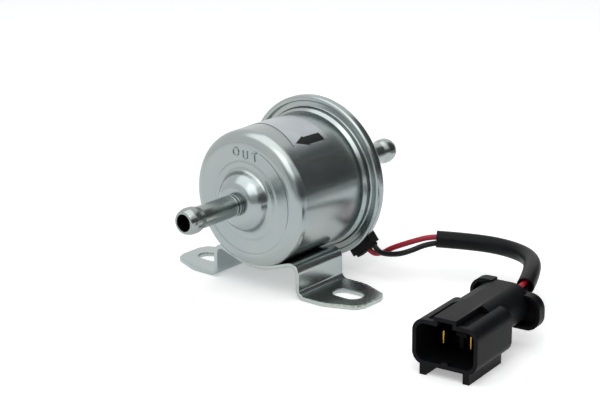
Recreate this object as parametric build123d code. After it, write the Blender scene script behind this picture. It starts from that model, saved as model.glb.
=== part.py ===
from build123d import *
import math
import os

# Electromagnetic plunger fuel pump, 12 V, millimetres.
# X runs across the two feet, Y along the pump's axis from the outlet (-Y) to the inlet (+Y), Z is up.
# The origin is midway between the two foot slots, on the underside of the feet.

# Clearances
seat_gap = 0.05           # between curved faces of one body that sit in each other
running_gap = 0.06        # radial, plunger in its guide tube

# Place of the pump on its bracket
axis_height = 34.2
face_y = -17.0            # front face of the barrel

# Barrel can, deep drawn steel
can_wall = 1.1
barrel_radius = 25.0
barrel_length = 35.6      # front face to the step behind the barrel
shoulder_radius = 4.0
panel_border = 5.6        # rim of the front face outside its pressed-in panel
panel_depth = 0.25
pad_width = 3.8           # raised ring round the front boss
pad_height = 0.3
step_height = 1.1         # radius gained behind the barrel
step_run = 1.0
mouth_length = 1.9        # wider mouth between the step and the flange
flange_width = 3.1        # flange beyond the mouth

# Bosses that carry the hose nipples, the same on can and cover
boss_radius = 10.4
boss_height = 6.2
boss_round = 3.6
boss_foot = 0.8

# Rear cover, its rim rolled over the flange of the can
gasket_thickness = 0.8
cover_wall = 1.0
cover_depth = 8.1         # from the gasket to the rear face
lip_front = 1.2           # lip ahead of the can's flange
lip_width = 2.1           # radial width of the lip
cover_foot = 0.8          # fillet between the rim and the cover's side

# Hose nipples
hose_radius = 4.0
hose_bore_radius = 3.1
bead_radius = 4.78
bead_length = 7.2
tip_radius = 3.9
neck_radius = 3.4
collar_radius = 4.1
collar_length = 0.9
outlet_length = 25.8      # from the boss's face to the tip
inlet_length = 29.6
nipple_collar = 3.6       # neck and rings between the boss and the hose seat
nipple_flange = 1.2
nipple_skirt = 4.8

# Strap bracket
strap_thickness = 1.6
strap_width = 25.0
leg_reach = 20.2          # pump axis to the outer face of a leg
bend_radius = 2.2         # inside of a bend
saddle_angle = 18.0       # half angle of the part that lies on the barrel
slot_spacing = 65.0
slot_length = 12.0
slot_width = 7.6
foot_beyond_slot = 5.3    # foot's end past the end of its slot
foot_side_run = 12.8      # length over which a foot's side draws in
foot_end_half = 4.5
foot_corner_half = 8.0
foot_corner_run = 1.5
foot_side_round = 24.0
foot_corner_round = 3.0

# Magnet and coil
plate_thickness = 3.0
plate_gap = 0.3           # radial, plate in the can
coil_room = 8.6           # of the barrel's length, for plates, ring and gaps
bobbin_wall = 1.2
bobbin_gap = 2.9          # radial, bobbin's flanges in the can
winding_gap = 2.5         # winding below the bobbin's flanges
tape_thickness = 0.5
ring_thickness = 1.0
ring_width = 2.4

# Hydraulic parts on the axis
tube_bore = 6.0
tube_wall = 0.7
seal_section = 1.4
cushion_length = 2.2
plunger_room = 11.6       # of the barrel's length, beyond the plunger
plunger_travel = 4.0
plunger_bore = 2.2
valve_pocket_radius = 4.6
valve_pocket_depth = 6.0
spring_pocket_radius = 4.9
spring_pocket_depth = 6.0
pole_air_gap = 6.2        # plunger at rest to the pole piece
pole_length = 18.0
pole_bore = 2.6
pole_spring_pocket = 4.0
inlet_pocket_depth = 5.0
valve_radius = 3.6
valve_thickness = 1.0
valve_travel = 1.2
valve_lift_gap = 0.05     # valve to its seat at rest
retainer_thickness = 1.2
seat_thickness = 1.5
filter_thickness = 1.2
return_wire = 0.7
return_turns = 7
return_spring_radius = 4.2
valve_wire = 0.4
valve_turns = 4
valve_spring_radius = 2.9

# Electronics
insulator_thickness = 1.2
post_radius = 1.5
post_circle = 15.0
post_height = 2.9
board_thickness = 1.6
board_gap = 3.0           # radial, board in the cover
board_hole_radius = 9.6
transistor_size = (10.0, 3.6, 8.0)
transistor_start = 10.6   # above the axis
transistor_tab = 2.0
capacitor_radius = 2.0
capacitor_length = 8.0
resistor_radius = 0.9
resistor_length = 5.0
component_circle = 15.3   # middle of the parts that lie on the board
washer_thickness = 1.0

# Sticker on the barrel
label_thickness = 0.15
label_start = 5.6         # behind the end of the shoulder
label_length = 17.9
label_from = 42.0         # angles seen from the front, 90 is the top
label_to = 122.0

# Grommet and leads
exit_angle = -50.0
lead_radius = 1.0
lead_spacing = 3.2
lead_shift = 1.2          # the leads leave a little above the grommet's middle
grommet_plate = 7.4       # plate's outer face beyond the barrel
grommet_boss = 8.6        # outer face of the boss round the leads, beyond the barrel
grommet_shift = -1.05     # grommet's middle across the exit
grommet_width = 12.3
grommet_depth = 4.0
boss_width = 9.8
boss_depth = 3.4
grommet_round = 0.8
neck_width = 10.9
neck_depth = 3.0
grommet_lip = 1.4
lip_overhang = 1.0
lead_start = 6.0          # beyond the barrel, where leads and board leads meet in the grommet
lead_turn = 10.8          # beyond the barrel, where a lead's route first turns
board_lead_start = 18.6
sleeve_radius = 3.1
sleeve_bore = 2.45
lead_offset = 1.05        # each lead above or below the sleeve's middle

# Connector, seen along its own length from the open end
connector_x = 100.7       # middle of its open end
connector_y = -38.3
connector_yaw = 5.5
hood_width = 23.4
hood_bottom = 3.4
hood_top = 18.7
hood_length = 23.0
hood_round = 4.2
hood_wall = 1.4
hood_cavity = 18.0
rail_width = 2.3
rail_spacing = 15.5
rail_length = 21.4
key_width = 8.0
key_top = 20.4
key_wall = 1.3
groove_width = 3.0        # beside the key, on both sides
groove_depth = 0.8
groove_start = 1.6
waist_width = 18.4        # body behind the hood
waist_bottom = 6.6
waist_start = 16.4
waist_end = 40.5
waist_round = 6.6
holder_width = 25.8
holder_shift = 1.1        # the holder stands out further on its latch side
holder_bottom = 5.7
holder_top = 20.8
holder_latch_drop = 3.0   # the latch side's shell is this much lower
holder_start = 37.8
holder_wall = 1.3
holder_round = 5.0
holder_window = -3.6      # the shell's top ends here, towards the latch side
cavity_spacing = 9.9
cavity_height = 10.6      # middle of the blades above the ground
cavity_radius = 3.1
blade_thickness = 0.8
blade_height = 4.3
blade_tip = 8.0
blade_root = 21.0
terminal_width = 3.2
crimp_radius = 1.5
terminal_end = 33.0
seal_length = 6.6
lock_width = 3.9
lock_bottom = 6.7
lock_top = 12.1
lock_bar = 1.5
lock_stem = 1.7
lock_length = 8.0
nub_size = (2.4, 2.2, 0.8)

# Worked out along the axis
coil_length = barrel_length - coil_room
plunger_length = barrel_length - plunger_room
panel_radius = barrel_radius - panel_border
pad_radius = boss_radius + pad_width
bobbin_radius = barrel_radius - can_wall - bobbin_gap
winding_radius = bobbin_radius - winding_gap
board_radius = barrel_radius - cover_wall - board_gap
lead_end = barrel_radius + lead_start
connector_place = Pos(connector_x, connector_y, 0) * Rot(0, 0, connector_yaw)
tube_radius = tube_bore + tube_wall
step_y = face_y + barrel_length
mouth_y = step_y + step_run
flange_front = mouth_y + mouth_length
flange_back = flange_front + can_wall
mouth_radius = barrel_radius + step_height
flange_radius = mouth_radius + flange_width
cover_y = flange_back + gasket_thickness
cover_back = cover_y + cover_wall
rear_face_y = cover_y + cover_depth
lip_radius = flange_radius + lip_front + 0.1
front_boss_y = face_y - boss_height
rear_boss_y = rear_face_y + boss_height
front_inner = face_y + panel_depth + can_wall
rear_inner = rear_face_y - cover_wall
nipple_hole = hose_radius + seat_gap

os.makedirs("parts", exist_ok=True)


def on_axis(shape):
    """Puts a shape made round the Y axis at the origin onto the pump's axis."""
    return Pos(0, 0, axis_height) * shape


def outline(corners):
    """Closed face through (radius, y, corner radius) rows."""
    points = [(radius, y) for radius, y, _ in corners]
    rounds = [corner for _, _, corner in corners]
    return make_face(FilletPolyline(points, radius=rounds, close=True))


def turned(corners):
    """Solid of revolution about the Y axis through (radius, y, corner radius) rows."""
    return revolve(outline(corners), Axis.Y)


def ring(inner, outer, start, end):
    """Plain ring about the Y axis."""
    return turned([(inner, start, 0), (outer, start, 0), (outer, end, 0), (inner, end, 0)])


def rod(radius, start, end):
    """Plain rod about the Y axis."""
    return ring(0, radius, start, end)


def block(low, high):
    """Box between two corners."""
    size = [high[i] - low[i] for i in range(3)]
    return Pos(*low) * Box(*size, align=(Align.MIN, Align.MIN, Align.MIN))


def barrel_can():
    mouth_round = 0.8
    inner_step = can_wall * math.tan(math.radians(22.5))
    return turned([
        (nipple_hole, front_boss_y, 0),
        (boss_radius, front_boss_y, boss_round),
        (boss_radius, face_y - pad_height + panel_depth, boss_foot),
        (pad_radius, face_y - pad_height + panel_depth, 0.3),
        (pad_radius + pad_height, face_y + panel_depth, 0),
        (panel_radius, face_y + panel_depth, 0),
        (panel_radius + panel_depth, face_y, 0),
        (barrel_radius, face_y, shoulder_radius),
        (barrel_radius, step_y, 0),
        (mouth_radius, mouth_y, 0),
        (mouth_radius, flange_front, mouth_round),
        (flange_radius, flange_front, 0),
        (flange_radius, flange_back, 0),
        (mouth_radius - can_wall, flange_back, 0.4),
        (mouth_radius - can_wall, mouth_y + inner_step, 0),
        (barrel_radius - can_wall, step_y + inner_step, 0),
        (barrel_radius - can_wall, front_inner, shoulder_radius - can_wall),
        (boss_radius - can_wall, front_inner, 0.5),
        (boss_radius - can_wall, front_boss_y + can_wall, boss_round - can_wall),
        (nipple_hole, front_boss_y + can_wall, 0),
    ])


def cover_outside(offset=0.0):
    """Filled outside of the rear cover and its rim, grown by an offset."""
    return turned([
        (0, cover_y, 0),
        (lip_radius + offset, cover_y, 0),
        (lip_radius + offset, cover_back + offset, 0),
        (barrel_radius + offset, cover_back + offset, cover_foot - offset),
        (barrel_radius + offset, rear_face_y + offset, shoulder_radius + offset),
        (0, rear_face_y + offset, 0),
    ])


def cover_inside(offset=0.0):
    """Filled inside of the rear cover, shrunk by an offset."""
    inner = barrel_radius - cover_wall - offset
    return turned([
        (0, cover_y, 0),
        (inner, cover_y, 0),
        (inner, rear_inner - offset, shoulder_radius - cover_wall),
        (0, rear_inner - offset, 0),
    ])


def rear_cover():
    lip_round = 1.6
    shell = turned([
        (lip_radius - lip_width, flange_front - seat_gap, 0),
        (lip_radius - lip_width, flange_front - lip_front, 0.5),
        (lip_radius, flange_front - lip_front, lip_round),
        (lip_radius, cover_back, lip_round * 0.8),
        (barrel_radius, cover_back, cover_foot),
        (barrel_radius, rear_face_y, shoulder_radius),
        (boss_radius, rear_face_y, boss_foot),
        (boss_radius, rear_boss_y, boss_round),
        (nipple_hole, rear_boss_y, 0),
        (nipple_hole, rear_boss_y - cover_wall, 0),
        (boss_radius - can_wall, rear_boss_y - cover_wall, boss_round - can_wall),
        (boss_radius - can_wall, rear_inner, 0.5),
        (barrel_radius - cover_wall, rear_inner, shoulder_radius - cover_wall),
        (barrel_radius - cover_wall, cover_y, 0),
        (flange_radius + seat_gap, cover_y, 0),
        (flange_radius + seat_gap, flange_front - seat_gap, 0),
    ])
    slot = at_exit(grommet_block(seat_gap, barrel_radius - 4, barrel_radius + 4, neck_width, neck_depth))
    return shell - slot


def nipple(boss_y, outward, length, wall):
    """Hose nipple brazed in a boss: its tip is outward (+1 or -1 along Y) from the boss's face."""
    def row(radius, distance, corner=0):
        return (radius, boss_y + outward * distance, corner)
    collar_gap = (nipple_collar - 2 * collar_length) / 3
    hose_end = length - bead_length
    inside = wall + seat_gap
    socket = tube_radius + 0.1
    seal_room = tube_radius + seal_section + 0.2
    skirt_end = inside + nipple_flange + nipple_skirt
    return turned([
        row(hose_bore_radius, length),
        row(tip_radius, length, 0.25),
        row(bead_radius, length - 1.9, 1.0),
        row(bead_radius, length - 4.9, 1.0),
        row(hose_radius, hose_end),
        row(hose_radius, nipple_collar, 0.5),
        row(neck_radius, nipple_collar - 0.5),
        row(neck_radius, 2 * collar_length + collar_gap),
        row(collar_radius, 2 * collar_length + collar_gap, 0.2),
        row(collar_radius, collar_length + collar_gap, 0.2),
        row(neck_radius, collar_length + collar_gap),
        row(neck_radius, collar_length),
        row(collar_radius, collar_length, 0.2),
        row(collar_radius, seat_gap),
        row(hose_radius, seat_gap),
        row(hose_radius, -inside),
        row(boss_radius - can_wall - boss_round + can_wall, -inside),
        row(boss_radius - can_wall - 0.3, -inside - boss_round + can_wall, 0),
        row(boss_radius - can_wall - 0.3, -skirt_end),
        row(seal_room, -skirt_end),
        row(seal_room, -skirt_end + seal_section + 0.3),
        row(socket, -skirt_end + seal_section + 0.3),
        row(socket, -inside - nipple_flange),
        row(hose_bore_radius, -inside - nipple_flange),
    ])


def skirt_end_y(boss_y, outward, wall):
    """Inner end of a nipple's skirt."""
    return boss_y - outward * (wall + seat_gap + nipple_flange + nipple_skirt)


def mounting_bracket():
    """Strap bent to a saddle, two legs and two feet, drawn as two parallel lines."""
    angle = math.radians(saddle_angle)
    foot_end = slot_spacing / 2 + slot_length / 2 + foot_beyond_slot

    def half(radius, leg, foot_z, top_round, foot_round):
        """One side of the strap from the saddle's edge to the foot's end."""
        edge = Vector(radius * math.sin(angle), axis_height - radius * math.cos(angle))
        knee = Vector(leg, edge.Y + (leg - edge.X) * math.tan(angle))
        return [edge, knee, Vector(leg, foot_z), Vector(foot_end, foot_z)], [top_round, foot_round]

    upper_radius = barrel_radius + seat_gap
    lower_radius = upper_radius + strap_thickness
    outer_bend = bend_radius + strap_thickness
    upper, upper_rounds = half(upper_radius, leg_reach, strap_thickness, outer_bend, bend_radius)
    lower, lower_rounds = half(lower_radius, leg_reach - strap_thickness, 0, bend_radius, outer_bend)

    def mirrored(points):
        return [Vector(-point.X, point.Y) for point in points]

    lines = []
    for points, rounds, radius in ((upper, upper_rounds, upper_radius), (lower, lower_rounds, lower_radius)):
        lines.append(FilletPolyline(points, radius=rounds))
        lines.append(FilletPolyline(mirrored(points), radius=rounds))
        bottom = Vector(0, axis_height - radius)
        lines.append(ThreePointArc(mirrored(points)[0], bottom, points[0]))
    lines.append(Line(upper[-1], lower[-1]))
    lines.append(Line(mirrored(upper)[-1], mirrored(lower)[-1]))
    profile = make_face(Wire([edge for line in lines for edge in line.edges()]))
    strap = extrude(Plane.XZ * profile, amount=strap_width / 2, both=True)

    half_width = strap_width / 2
    side_x = foot_end - foot_side_run
    corner_x = foot_end - foot_corner_run
    quarter = [(side_x, half_width), (corner_x, foot_corner_half), (foot_end, foot_end_half)]
    rounds = [foot_side_round, foot_corner_round, foot_corner_round]
    points = quarter + [(x, -y) for x, y in reversed(quarter)]
    points += [(-x, -y) for x, y in quarter] + [(-x, y) for x, y in reversed(quarter)]
    plan = make_face(FilletPolyline(points, radius=(rounds + rounds[::-1]) * 2, close=True))
    strap = strap & extrude(plan, amount=axis_height)
    for side in (-1, 1):
        slot = extrude(SlotOverall(slot_length, slot_width), amount=2 * strap_thickness, both=True)
        strap -= Pos(side * slot_spacing / 2, 0, 0) * slot
    return strap


def grommet_block(grow, inner, outer, width, depth):
    """Block across the cover's wall, in the grommet's frame: X radial, Z across, Y along the pump."""
    return block(
        (inner, grommet_y - depth / 2 - grow, grommet_shift - width / 2 - grow),
        (outer, grommet_y + depth / 2 + grow, grommet_shift + width / 2 + grow),
    )


def at_exit(shape):
    """Turns the grommet's frame to the angle at which the leads come out."""
    return Rot(0, -exit_angle, 0) * shape


def lead_height(side):
    """Place of a lead across the grommet, above the line of the exit angle."""
    return lead_shift + side * lead_spacing / 2


def wire_grommet():
    """Rubber plate outside the cover with a boss round the leads, a neck through the wall and a lip inside."""
    wall_inner = barrel_radius - cover_wall
    reach = barrel_radius + grommet_boss
    lip_start = wall_inner - grommet_lip - 1
    plate = grommet_block(0, wall_inner, barrel_radius + grommet_plate, grommet_width, grommet_depth)
    plate = fillet(plate.edges().filter_by(Axis.X), grommet_round)
    boss = grommet_block(0, wall_inner, reach, boss_width, boss_depth)
    boss = fillet(boss.edges().filter_by(Axis.X), grommet_round)
    boss = fillet(boss.faces().sort_by(Axis.X)[-1].edges(), grommet_round / 2)
    head = plate + boss - cover_outside(seat_gap)
    neck = grommet_block(0, lip_start, barrel_radius + 1.5, neck_width, neck_depth)
    lip = grommet_block(0, lip_start, wall_inner + 1, neck_width + 2 * lip_overhang, neck_depth + lip_overhang)
    lip &= cover_inside(seat_gap)
    body = head + neck + lip
    for side in (-1, 1):
        hole = rod(lead_radius + seat_gap, 0, reach * 2)
        body -= Pos(0, grommet_y, lead_height(side)) * Rot(0, 0, -90) * hole
    return at_exit(body)


def board_top():
    return insulator_y + insulator_thickness + post_height + board_thickness


def cushion_y():
    return outlet_floor + seat_gap


# Places along the axis that several pieces share
outlet_floor = front_boss_y + can_wall + seat_gap + nipple_flange
inlet_floor = rear_boss_y - cover_wall - seat_gap - nipple_flange
tube_front = outlet_floor
tube_back = inlet_floor
plunger_front = outlet_floor + 2 * seat_gap + cushion_length
plunger_back = plunger_front + plunger_length
pole_front = plunger_back + pole_air_gap
pole_back = pole_front + pole_length
coil_front = front_inner + seat_gap + plate_thickness + seat_gap
coil_back = coil_front + coil_length
rear_plate_y = coil_back + seat_gap
ring_y = rear_plate_y + plate_thickness + seat_gap
insulator_y = mouth_y + can_wall * 0.5
grommet_y = board_top() + lead_radius + seat_gap
inlet_skirt = skirt_end_y(rear_boss_y, 1, cover_wall)
outlet_skirt = skirt_end_y(front_boss_y, -1, can_wall)


def pole_plate(start, rounded):
    """Steel end plate of the magnet, its outer corner rounded to clear the can's shoulder."""
    outer = barrel_radius - can_wall - plate_gap
    corner = shoulder_radius - can_wall if rounded else 0.3
    return turned([
        (tube_radius + 0.1, start, 0),
        (outer, start, corner),
        (outer, start + plate_thickness, 0),
        (tube_radius + 0.1, start + plate_thickness, 0),
    ])


def coil_bobbin():
    hub = tube_radius + 0.15
    hub_outer = hub + bobbin_wall
    return turned([
        (hub, coil_front, 0),
        (bobbin_radius, coil_front, 0),
        (bobbin_radius, coil_front + bobbin_wall, 0),
        (hub_outer, coil_front + bobbin_wall, 0),
        (hub_outer, coil_back - bobbin_wall, 0),
        (bobbin_radius, coil_back - bobbin_wall, 0),
        (bobbin_radius, coil_back, 0),
        (hub, coil_back, 0),
    ])


def between_flanges(inner, outer):
    """Ring in the bobbin's window."""
    return ring(inner, outer, coil_front + bobbin_wall + seat_gap, coil_back - bobbin_wall - seat_gap)


def retaining_ring():
    """Snap ring that holds the coil pack, with its gap at the bottom."""
    outer = barrel_radius - can_wall - 0.1
    body = ring(outer - ring_width, outer, ring_y, ring_y + ring_thickness)
    gap = block((-3, ring_y - 1, -barrel_radius), (3, ring_y + ring_thickness + 1, 0))
    return body - gap


def plunger():
    outer = tube_bore - running_gap
    bottom = plunger_front + valve_pocket_depth
    rear_bottom = plunger_back - spring_pocket_depth
    return turned([
        (plunger_bore, bottom, 0),
        (valve_pocket_radius, bottom, 0),
        (valve_pocket_radius, plunger_front, 0),
        (outer, plunger_front, 0.3),
        (outer, plunger_back, 0.3),
        (spring_pocket_radius, plunger_back, 0),
        (spring_pocket_radius, rear_bottom, 0),
        (plunger_bore, rear_bottom, 0),
    ])


def pole_piece():
    """Fixed steel core behind the plunger: return spring in front, inlet valve behind."""
    outer = tube_bore - seat_gap
    front_bottom = pole_front + pole_spring_pocket
    back_bottom = pole_back - inlet_pocket_depth
    return turned([
        (pole_bore, front_bottom, 0),
        (spring_pocket_radius, front_bottom, 0),
        (spring_pocket_radius, pole_front, 0),
        (outer, pole_front, 0),
        (outer, pole_back, 0),
        (valve_pocket_radius, pole_back, 0),
        (valve_pocket_radius, back_bottom, 0),
        (pole_bore, back_bottom, 0),
    ])


def coil_spring(radius, wire, turns, start, end):
    """Open wound compression spring about the Y axis, each quarter turn of its helix as two tangent arcs."""
    rise = (end - start - wire) / (4 * turns)
    edges = []
    for quarter in range(4 * turns):
        ends = []
        for step in (quarter, quarter + 1):
            angle = step * math.pi / 2
            point = Vector(radius * math.cos(angle), start + wire / 2 + step * rise, radius * math.sin(angle))
            slope = Vector(-radius * math.sin(angle), rise * 2 / math.pi, radius * math.cos(angle))
            ends.append((point, slope.normalized()))
        (first, leaving), (last, arriving) = ends
        chord = last - first
        both = leaving + arriving
        spread = 2 * (1 - leaving.dot(arriving))
        reach = (math.sqrt(chord.dot(both) ** 2 + spread * chord.dot(chord)) - chord.dot(both)) / spread
        near = first + leaving * reach
        far = last - arriving * reach
        joint = (near + far) * 0.5
        edges.append(TangentArc(first, joint, tangent=leaving))
        edges.append(TangentArc(joint, last, tangent=far - near))
    path = Wire([edge for arc in edges for edge in arc.edges()])
    return sweep(Plane(origin=path @ 0, z_dir=path % 0) * Circle(wire / 2), path=path)


def valve_disc(seat_y):
    """Valve disc that rests just ahead of its seat, with a small pip for its spring."""
    back = seat_y - valve_lift_gap
    front = back - valve_thickness
    pip = valve_spring_radius - valve_wire - 0.5
    return turned([
        (0, back, 0),
        (valve_radius, back, 0),
        (valve_radius, front, 0.2),
        (pip, front, 0),
        (pip, front - 0.6, 0.2),
        (0, front - 0.6, 0),
    ])


def delivery_retainer():
    """Perforated disc pressed into the front of the plunger that holds the valve's spring."""
    start = plunger_front + 0.3
    body = ring(1.2, valve_pocket_radius - seat_gap, start, start + retainer_thickness)
    for turn in range(4):
        hole = Pos(2.9, 0, 0) * rod(0.8, start - 1, start + retainer_thickness + 1)
        body -= Rot(0, 45 + 90 * turn, 0) * hole
    return body


def inlet_filter():
    """Fine mesh disc in a ring, ahead of the inlet nipple's bore."""
    start = pole_back + 2 * seat_gap + seat_thickness
    rim = ring(tube_bore - 0.9, tube_bore - seat_gap, start, start + filter_thickness)
    middle = start + filter_thickness / 2
    mesh = rod(tube_bore - 0.8, middle - 0.2, middle + 0.2)
    pores = Part()
    for column in range(-2, 3):
        for row in range(-2, 3):
            if abs(column) + abs(row) < 4:
                pores += Pos(column * 1.7, 0, row * 1.7) * block((-0.55, middle - 1, -0.55), (0.55, middle + 1, 0.55))
    return rim + (mesh - pores)


def board_insulator():
    """Fibre disc on the can's step, with three posts that carry the board."""
    disc = ring(tube_radius + 0.3, mouth_radius - can_wall - 0.1, insulator_y, insulator_y + insulator_thickness)
    top = insulator_y + insulator_thickness
    for turn in range(3):
        post = Pos(post_circle, 0, 0) * rod(post_radius, top - 0.2, top + post_height)
        disc += Rot(0, 30 + 120 * turn, 0) * post
    return disc


def circuit_board():
    start = insulator_y + insulator_thickness + post_height
    return ring(board_hole_radius, board_radius, start, start + board_thickness)


def power_transistor():
    """Flat power package lying on the board above the axis, with its metal tab."""
    width, height, depth = transistor_size
    base = board_top() + seat_gap
    end = transistor_start + depth
    body = block((-width / 2, base, transistor_start), (width / 2, base + height, end - transistor_tab))
    tab = block((-width / 2, base, end - transistor_tab - 0.2), (width / 2, base + height / 3, end))
    return body + tab


def lying_rod(radius, length, angle, circle):
    """Round component lying on the board across a radius."""
    base = board_top() + seat_gap + radius
    shape = Rot(90, 0, 0) * rod(radius, -length / 2, length / 2)
    return Rot(0, angle, 0) * Pos(circle, base, 0) * shape


def flow_label():
    """Printed sticker wrapped over the top of the barrel."""
    start = face_y + shoulder_radius + label_start
    inner = barrel_radius + 0.02
    band = ring(inner, inner + label_thickness, start, start + label_length)
    reach = barrel_radius * 2
    angles = [math.radians(label_from), math.radians(label_to)]
    corners = [(0, 0)] + [(reach * math.cos(a), reach * math.sin(a)) for a in angles]
    wedge = make_face(Polyline(corners, close=True))
    return band & extrude(Plane.XZ * wedge, amount=reach * 2, both=True)


# Routes of the sleeve and the two leads, as corner points of straight runs
sleeve_route = [
    (45.3, 36.2, 15.0), (56.7, 44.0, 14.2), (70.0, 46.6, 13.8),
    (83.1, 40.6, 14.4), (92.4, 25.5, 15.2), (95.5, 16.8, 15.2),
]
red_loose = [(27.2, 28.6, 6.6), (30.6, 28.5, 10.9), (37.4, 31.1, 13.5)]
black_loose = [(29.8, 26.3, 8.5), (37.5, 26.6, 10.3)]
mouth_run = 1.5           # straight run of the leads into the sleeve's mouth
seal_exit = 47.4          # where it turns into the connector, from the open end


def in_connector(x, y, z):
    """Point of the connector's frame in the part's frame."""
    moved = connector_place * Pos(x, y, z)
    return moved.position


def exit_point(reach, side):
    """Point of a lead on its straight way through the grommet."""
    moved = Pos(0, 0, axis_height) * Rot(0, -exit_angle, 0) * Pos(reach, grommet_y, lead_height(side))
    return moved.position


def lead_route(side, loose_points):
    """Route of one lead from inside the grommet, through the sleeve, to its seal."""
    lift = Vector(0, 0, -side * lead_offset)
    cavity_x = side * cavity_spacing / 2
    sleeve_points = [Vector(*point) for point in sleeve_route]
    mouth_dir = (sleeve_points[1] - sleeve_points[0]).normalized()
    end_dir = (sleeve_points[-1] - sleeve_points[-2]).normalized()
    before = sleeve_points[0] - mouth_dir * mouth_run
    after = sleeve_points[-1] + end_dir * 2.6 + Vector(0.4 * side, 0.1 * side, 0)
    route = [exit_point(lead_end, side), exit_point(barrel_radius + lead_turn, side)]
    route += [Vector(*point) for point in loose_points]
    route += [point + lift for point in [before] + sleeve_points[1:-1] + [after]]
    route += [in_connector(cavity_x, seal_exit, cavity_height), in_connector(cavity_x, waist_end, cavity_height)]
    return route


def soft_tube(name, points, radius):
    """Round tube along straight runs joined by arcs as large as the runs allow."""
    radii = []
    for before, here, after in zip(points, points[1:], points[2:]):
        turn = math.radians((here - before).get_angle(after - here))
        shorter = min((here - before).length, (after - here).length)
        radii.append(0.45 * shorter / math.tan(turn / 2))
    path = FilletPolyline(points, radius=radii)
    section = Plane(origin=path @ 0, z_dir=path % 0) * Circle(radius)
    tube = sweep(section, path=path)
    expected = math.pi * radius ** 2 * path.length
    print(name, "length", round(path.length, 1), "radii", [round(r, 1) for r in radii])
    print(name, "volume / (section x length)", round(tube.volume / expected, 4))
    return tube, path


def board_leads():
    """Straight ends of the two leads, from the board into the grommet."""
    rods = Part()
    for side in (-1, 1):
        end = Rot(0, 0, -90) * rod(lead_radius, board_lead_start, lead_end - seat_gap)
        rods += at_exit(Pos(0, grommet_y, lead_height(side)) * end)
    return rods


def rounded_bar(width, bottom, top, corner, start, end):
    """Bar with a rounded rectangular section along the connector's length."""
    middle = Pos(0, (bottom + top) / 2) * RectangleRounded(width, top - bottom, corner)
    return Pos(0, start, 0) * extrude(Plane.XZ * middle, amount=-(end - start))


def connector_housing():
    """Moulded two-way housing: open hood with a latch key, narrower rear body, two rails underneath."""
    body = rounded_bar(hood_width, hood_bottom, hood_top, hood_round, 0, hood_length)
    body += rounded_bar(waist_width, waist_bottom, key_top, waist_round, waist_start, waist_end)
    body += block((-key_width / 2, 0, hood_top - 2), (key_width / 2, waist_start + 2, key_top))
    for side in (-1, 1):
        middle = side * rail_spacing / 2
        body += block((middle - rail_width / 2, 0, 0), (middle + rail_width / 2, rail_length, hood_bottom + 1.2))
    for side in (-1, 1):
        inner, outer = sorted((side * key_width / 2, side * (key_width / 2 + groove_width)))
        body -= block((inner, groove_start, hood_top - groove_depth), (outer, waist_start, hood_top + 1))
    inner_round = hood_round - hood_wall
    body -= rounded_bar(hood_width - 2 * hood_wall, hood_bottom + hood_wall, hood_top - hood_wall, inner_round, -1, hood_cavity)
    body -= block((-key_width / 2 + key_wall, -1, hood_top - hood_wall - 1), (key_width / 2 - key_wall, hood_cavity, key_top - key_wall))
    for side in (-1, 1):
        x = side * cavity_spacing / 2
        body -= Pos(x, 0, cavity_height) * rod(cavity_radius, blade_root, waist_end + 1)
        slot = block(
            (x - blade_thickness / 2 - seat_gap, hood_cavity - 1, cavity_height - blade_height / 2 - seat_gap),
            (x + blade_thickness / 2 + seat_gap, blade_root + 1, cavity_height + blade_height / 2 + seat_gap),
        )
        body -= slot
    floor = hood_bottom + hood_wall
    body += block((-nub_size[0] / 2, 0, floor - 0.2), (nub_size[0] / 2, nub_size[1], floor + nub_size[2]))
    lock = block((-lock_width / 2 - seat_gap, hood_cavity - 1, lock_bottom - seat_gap),
                 (lock_width / 2 + seat_gap, hood_cavity + 1, lock_top + seat_gap))
    return body - lock


def terminal_lock():
    """T shaped terminal lock that shows between the blades."""
    end = hood_cavity + 1 - seat_gap
    start = end - lock_length
    bar = block((-lock_width / 2, start, lock_top - lock_bar), (lock_width / 2, end, lock_top))
    stem = block((-lock_stem / 2, start, lock_bottom), (lock_stem / 2, end, lock_top - 0.2))
    return bar + stem


def blade_terminal(side):
    """Brass blade, its box and the crimp round the lead."""
    x = side * cavity_spacing / 2
    half = blade_thickness / 2
    blade = block((x - half, blade_tip, cavity_height - blade_height / 2), (x + half, blade_root + 2, cavity_height + blade_height / 2))
    tip = blade.faces().sort_by(Axis.Y)[0].edges().filter_by(Axis.Z)
    blade = chamfer(tip, half * 0.6)
    box = block((x - terminal_width / 2, blade_root + 0.3, cavity_height - 2), (x + terminal_width / 2, blade_root + 6, cavity_height + 2))
    crimp = Pos(x, 0, cavity_height) * rod(crimp_radius, blade_root + 5, terminal_end)
    return blade + box + crimp


def wire_seal(side):
    """Ribbed rubber seal on a lead in its cavity."""
    end = waist_end - seat_gap
    start = end - seal_length
    body = ring(0, cavity_radius - 0.35, start, end)
    for rib in range(3):
        middle = start + seal_length * (rib + 0.5) / 3
        body += ring(0, cavity_radius - seat_gap, middle - 0.5, middle + 0.5)
    return Pos(side * cavity_spacing / 2, 0, cavity_height) * body


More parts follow.
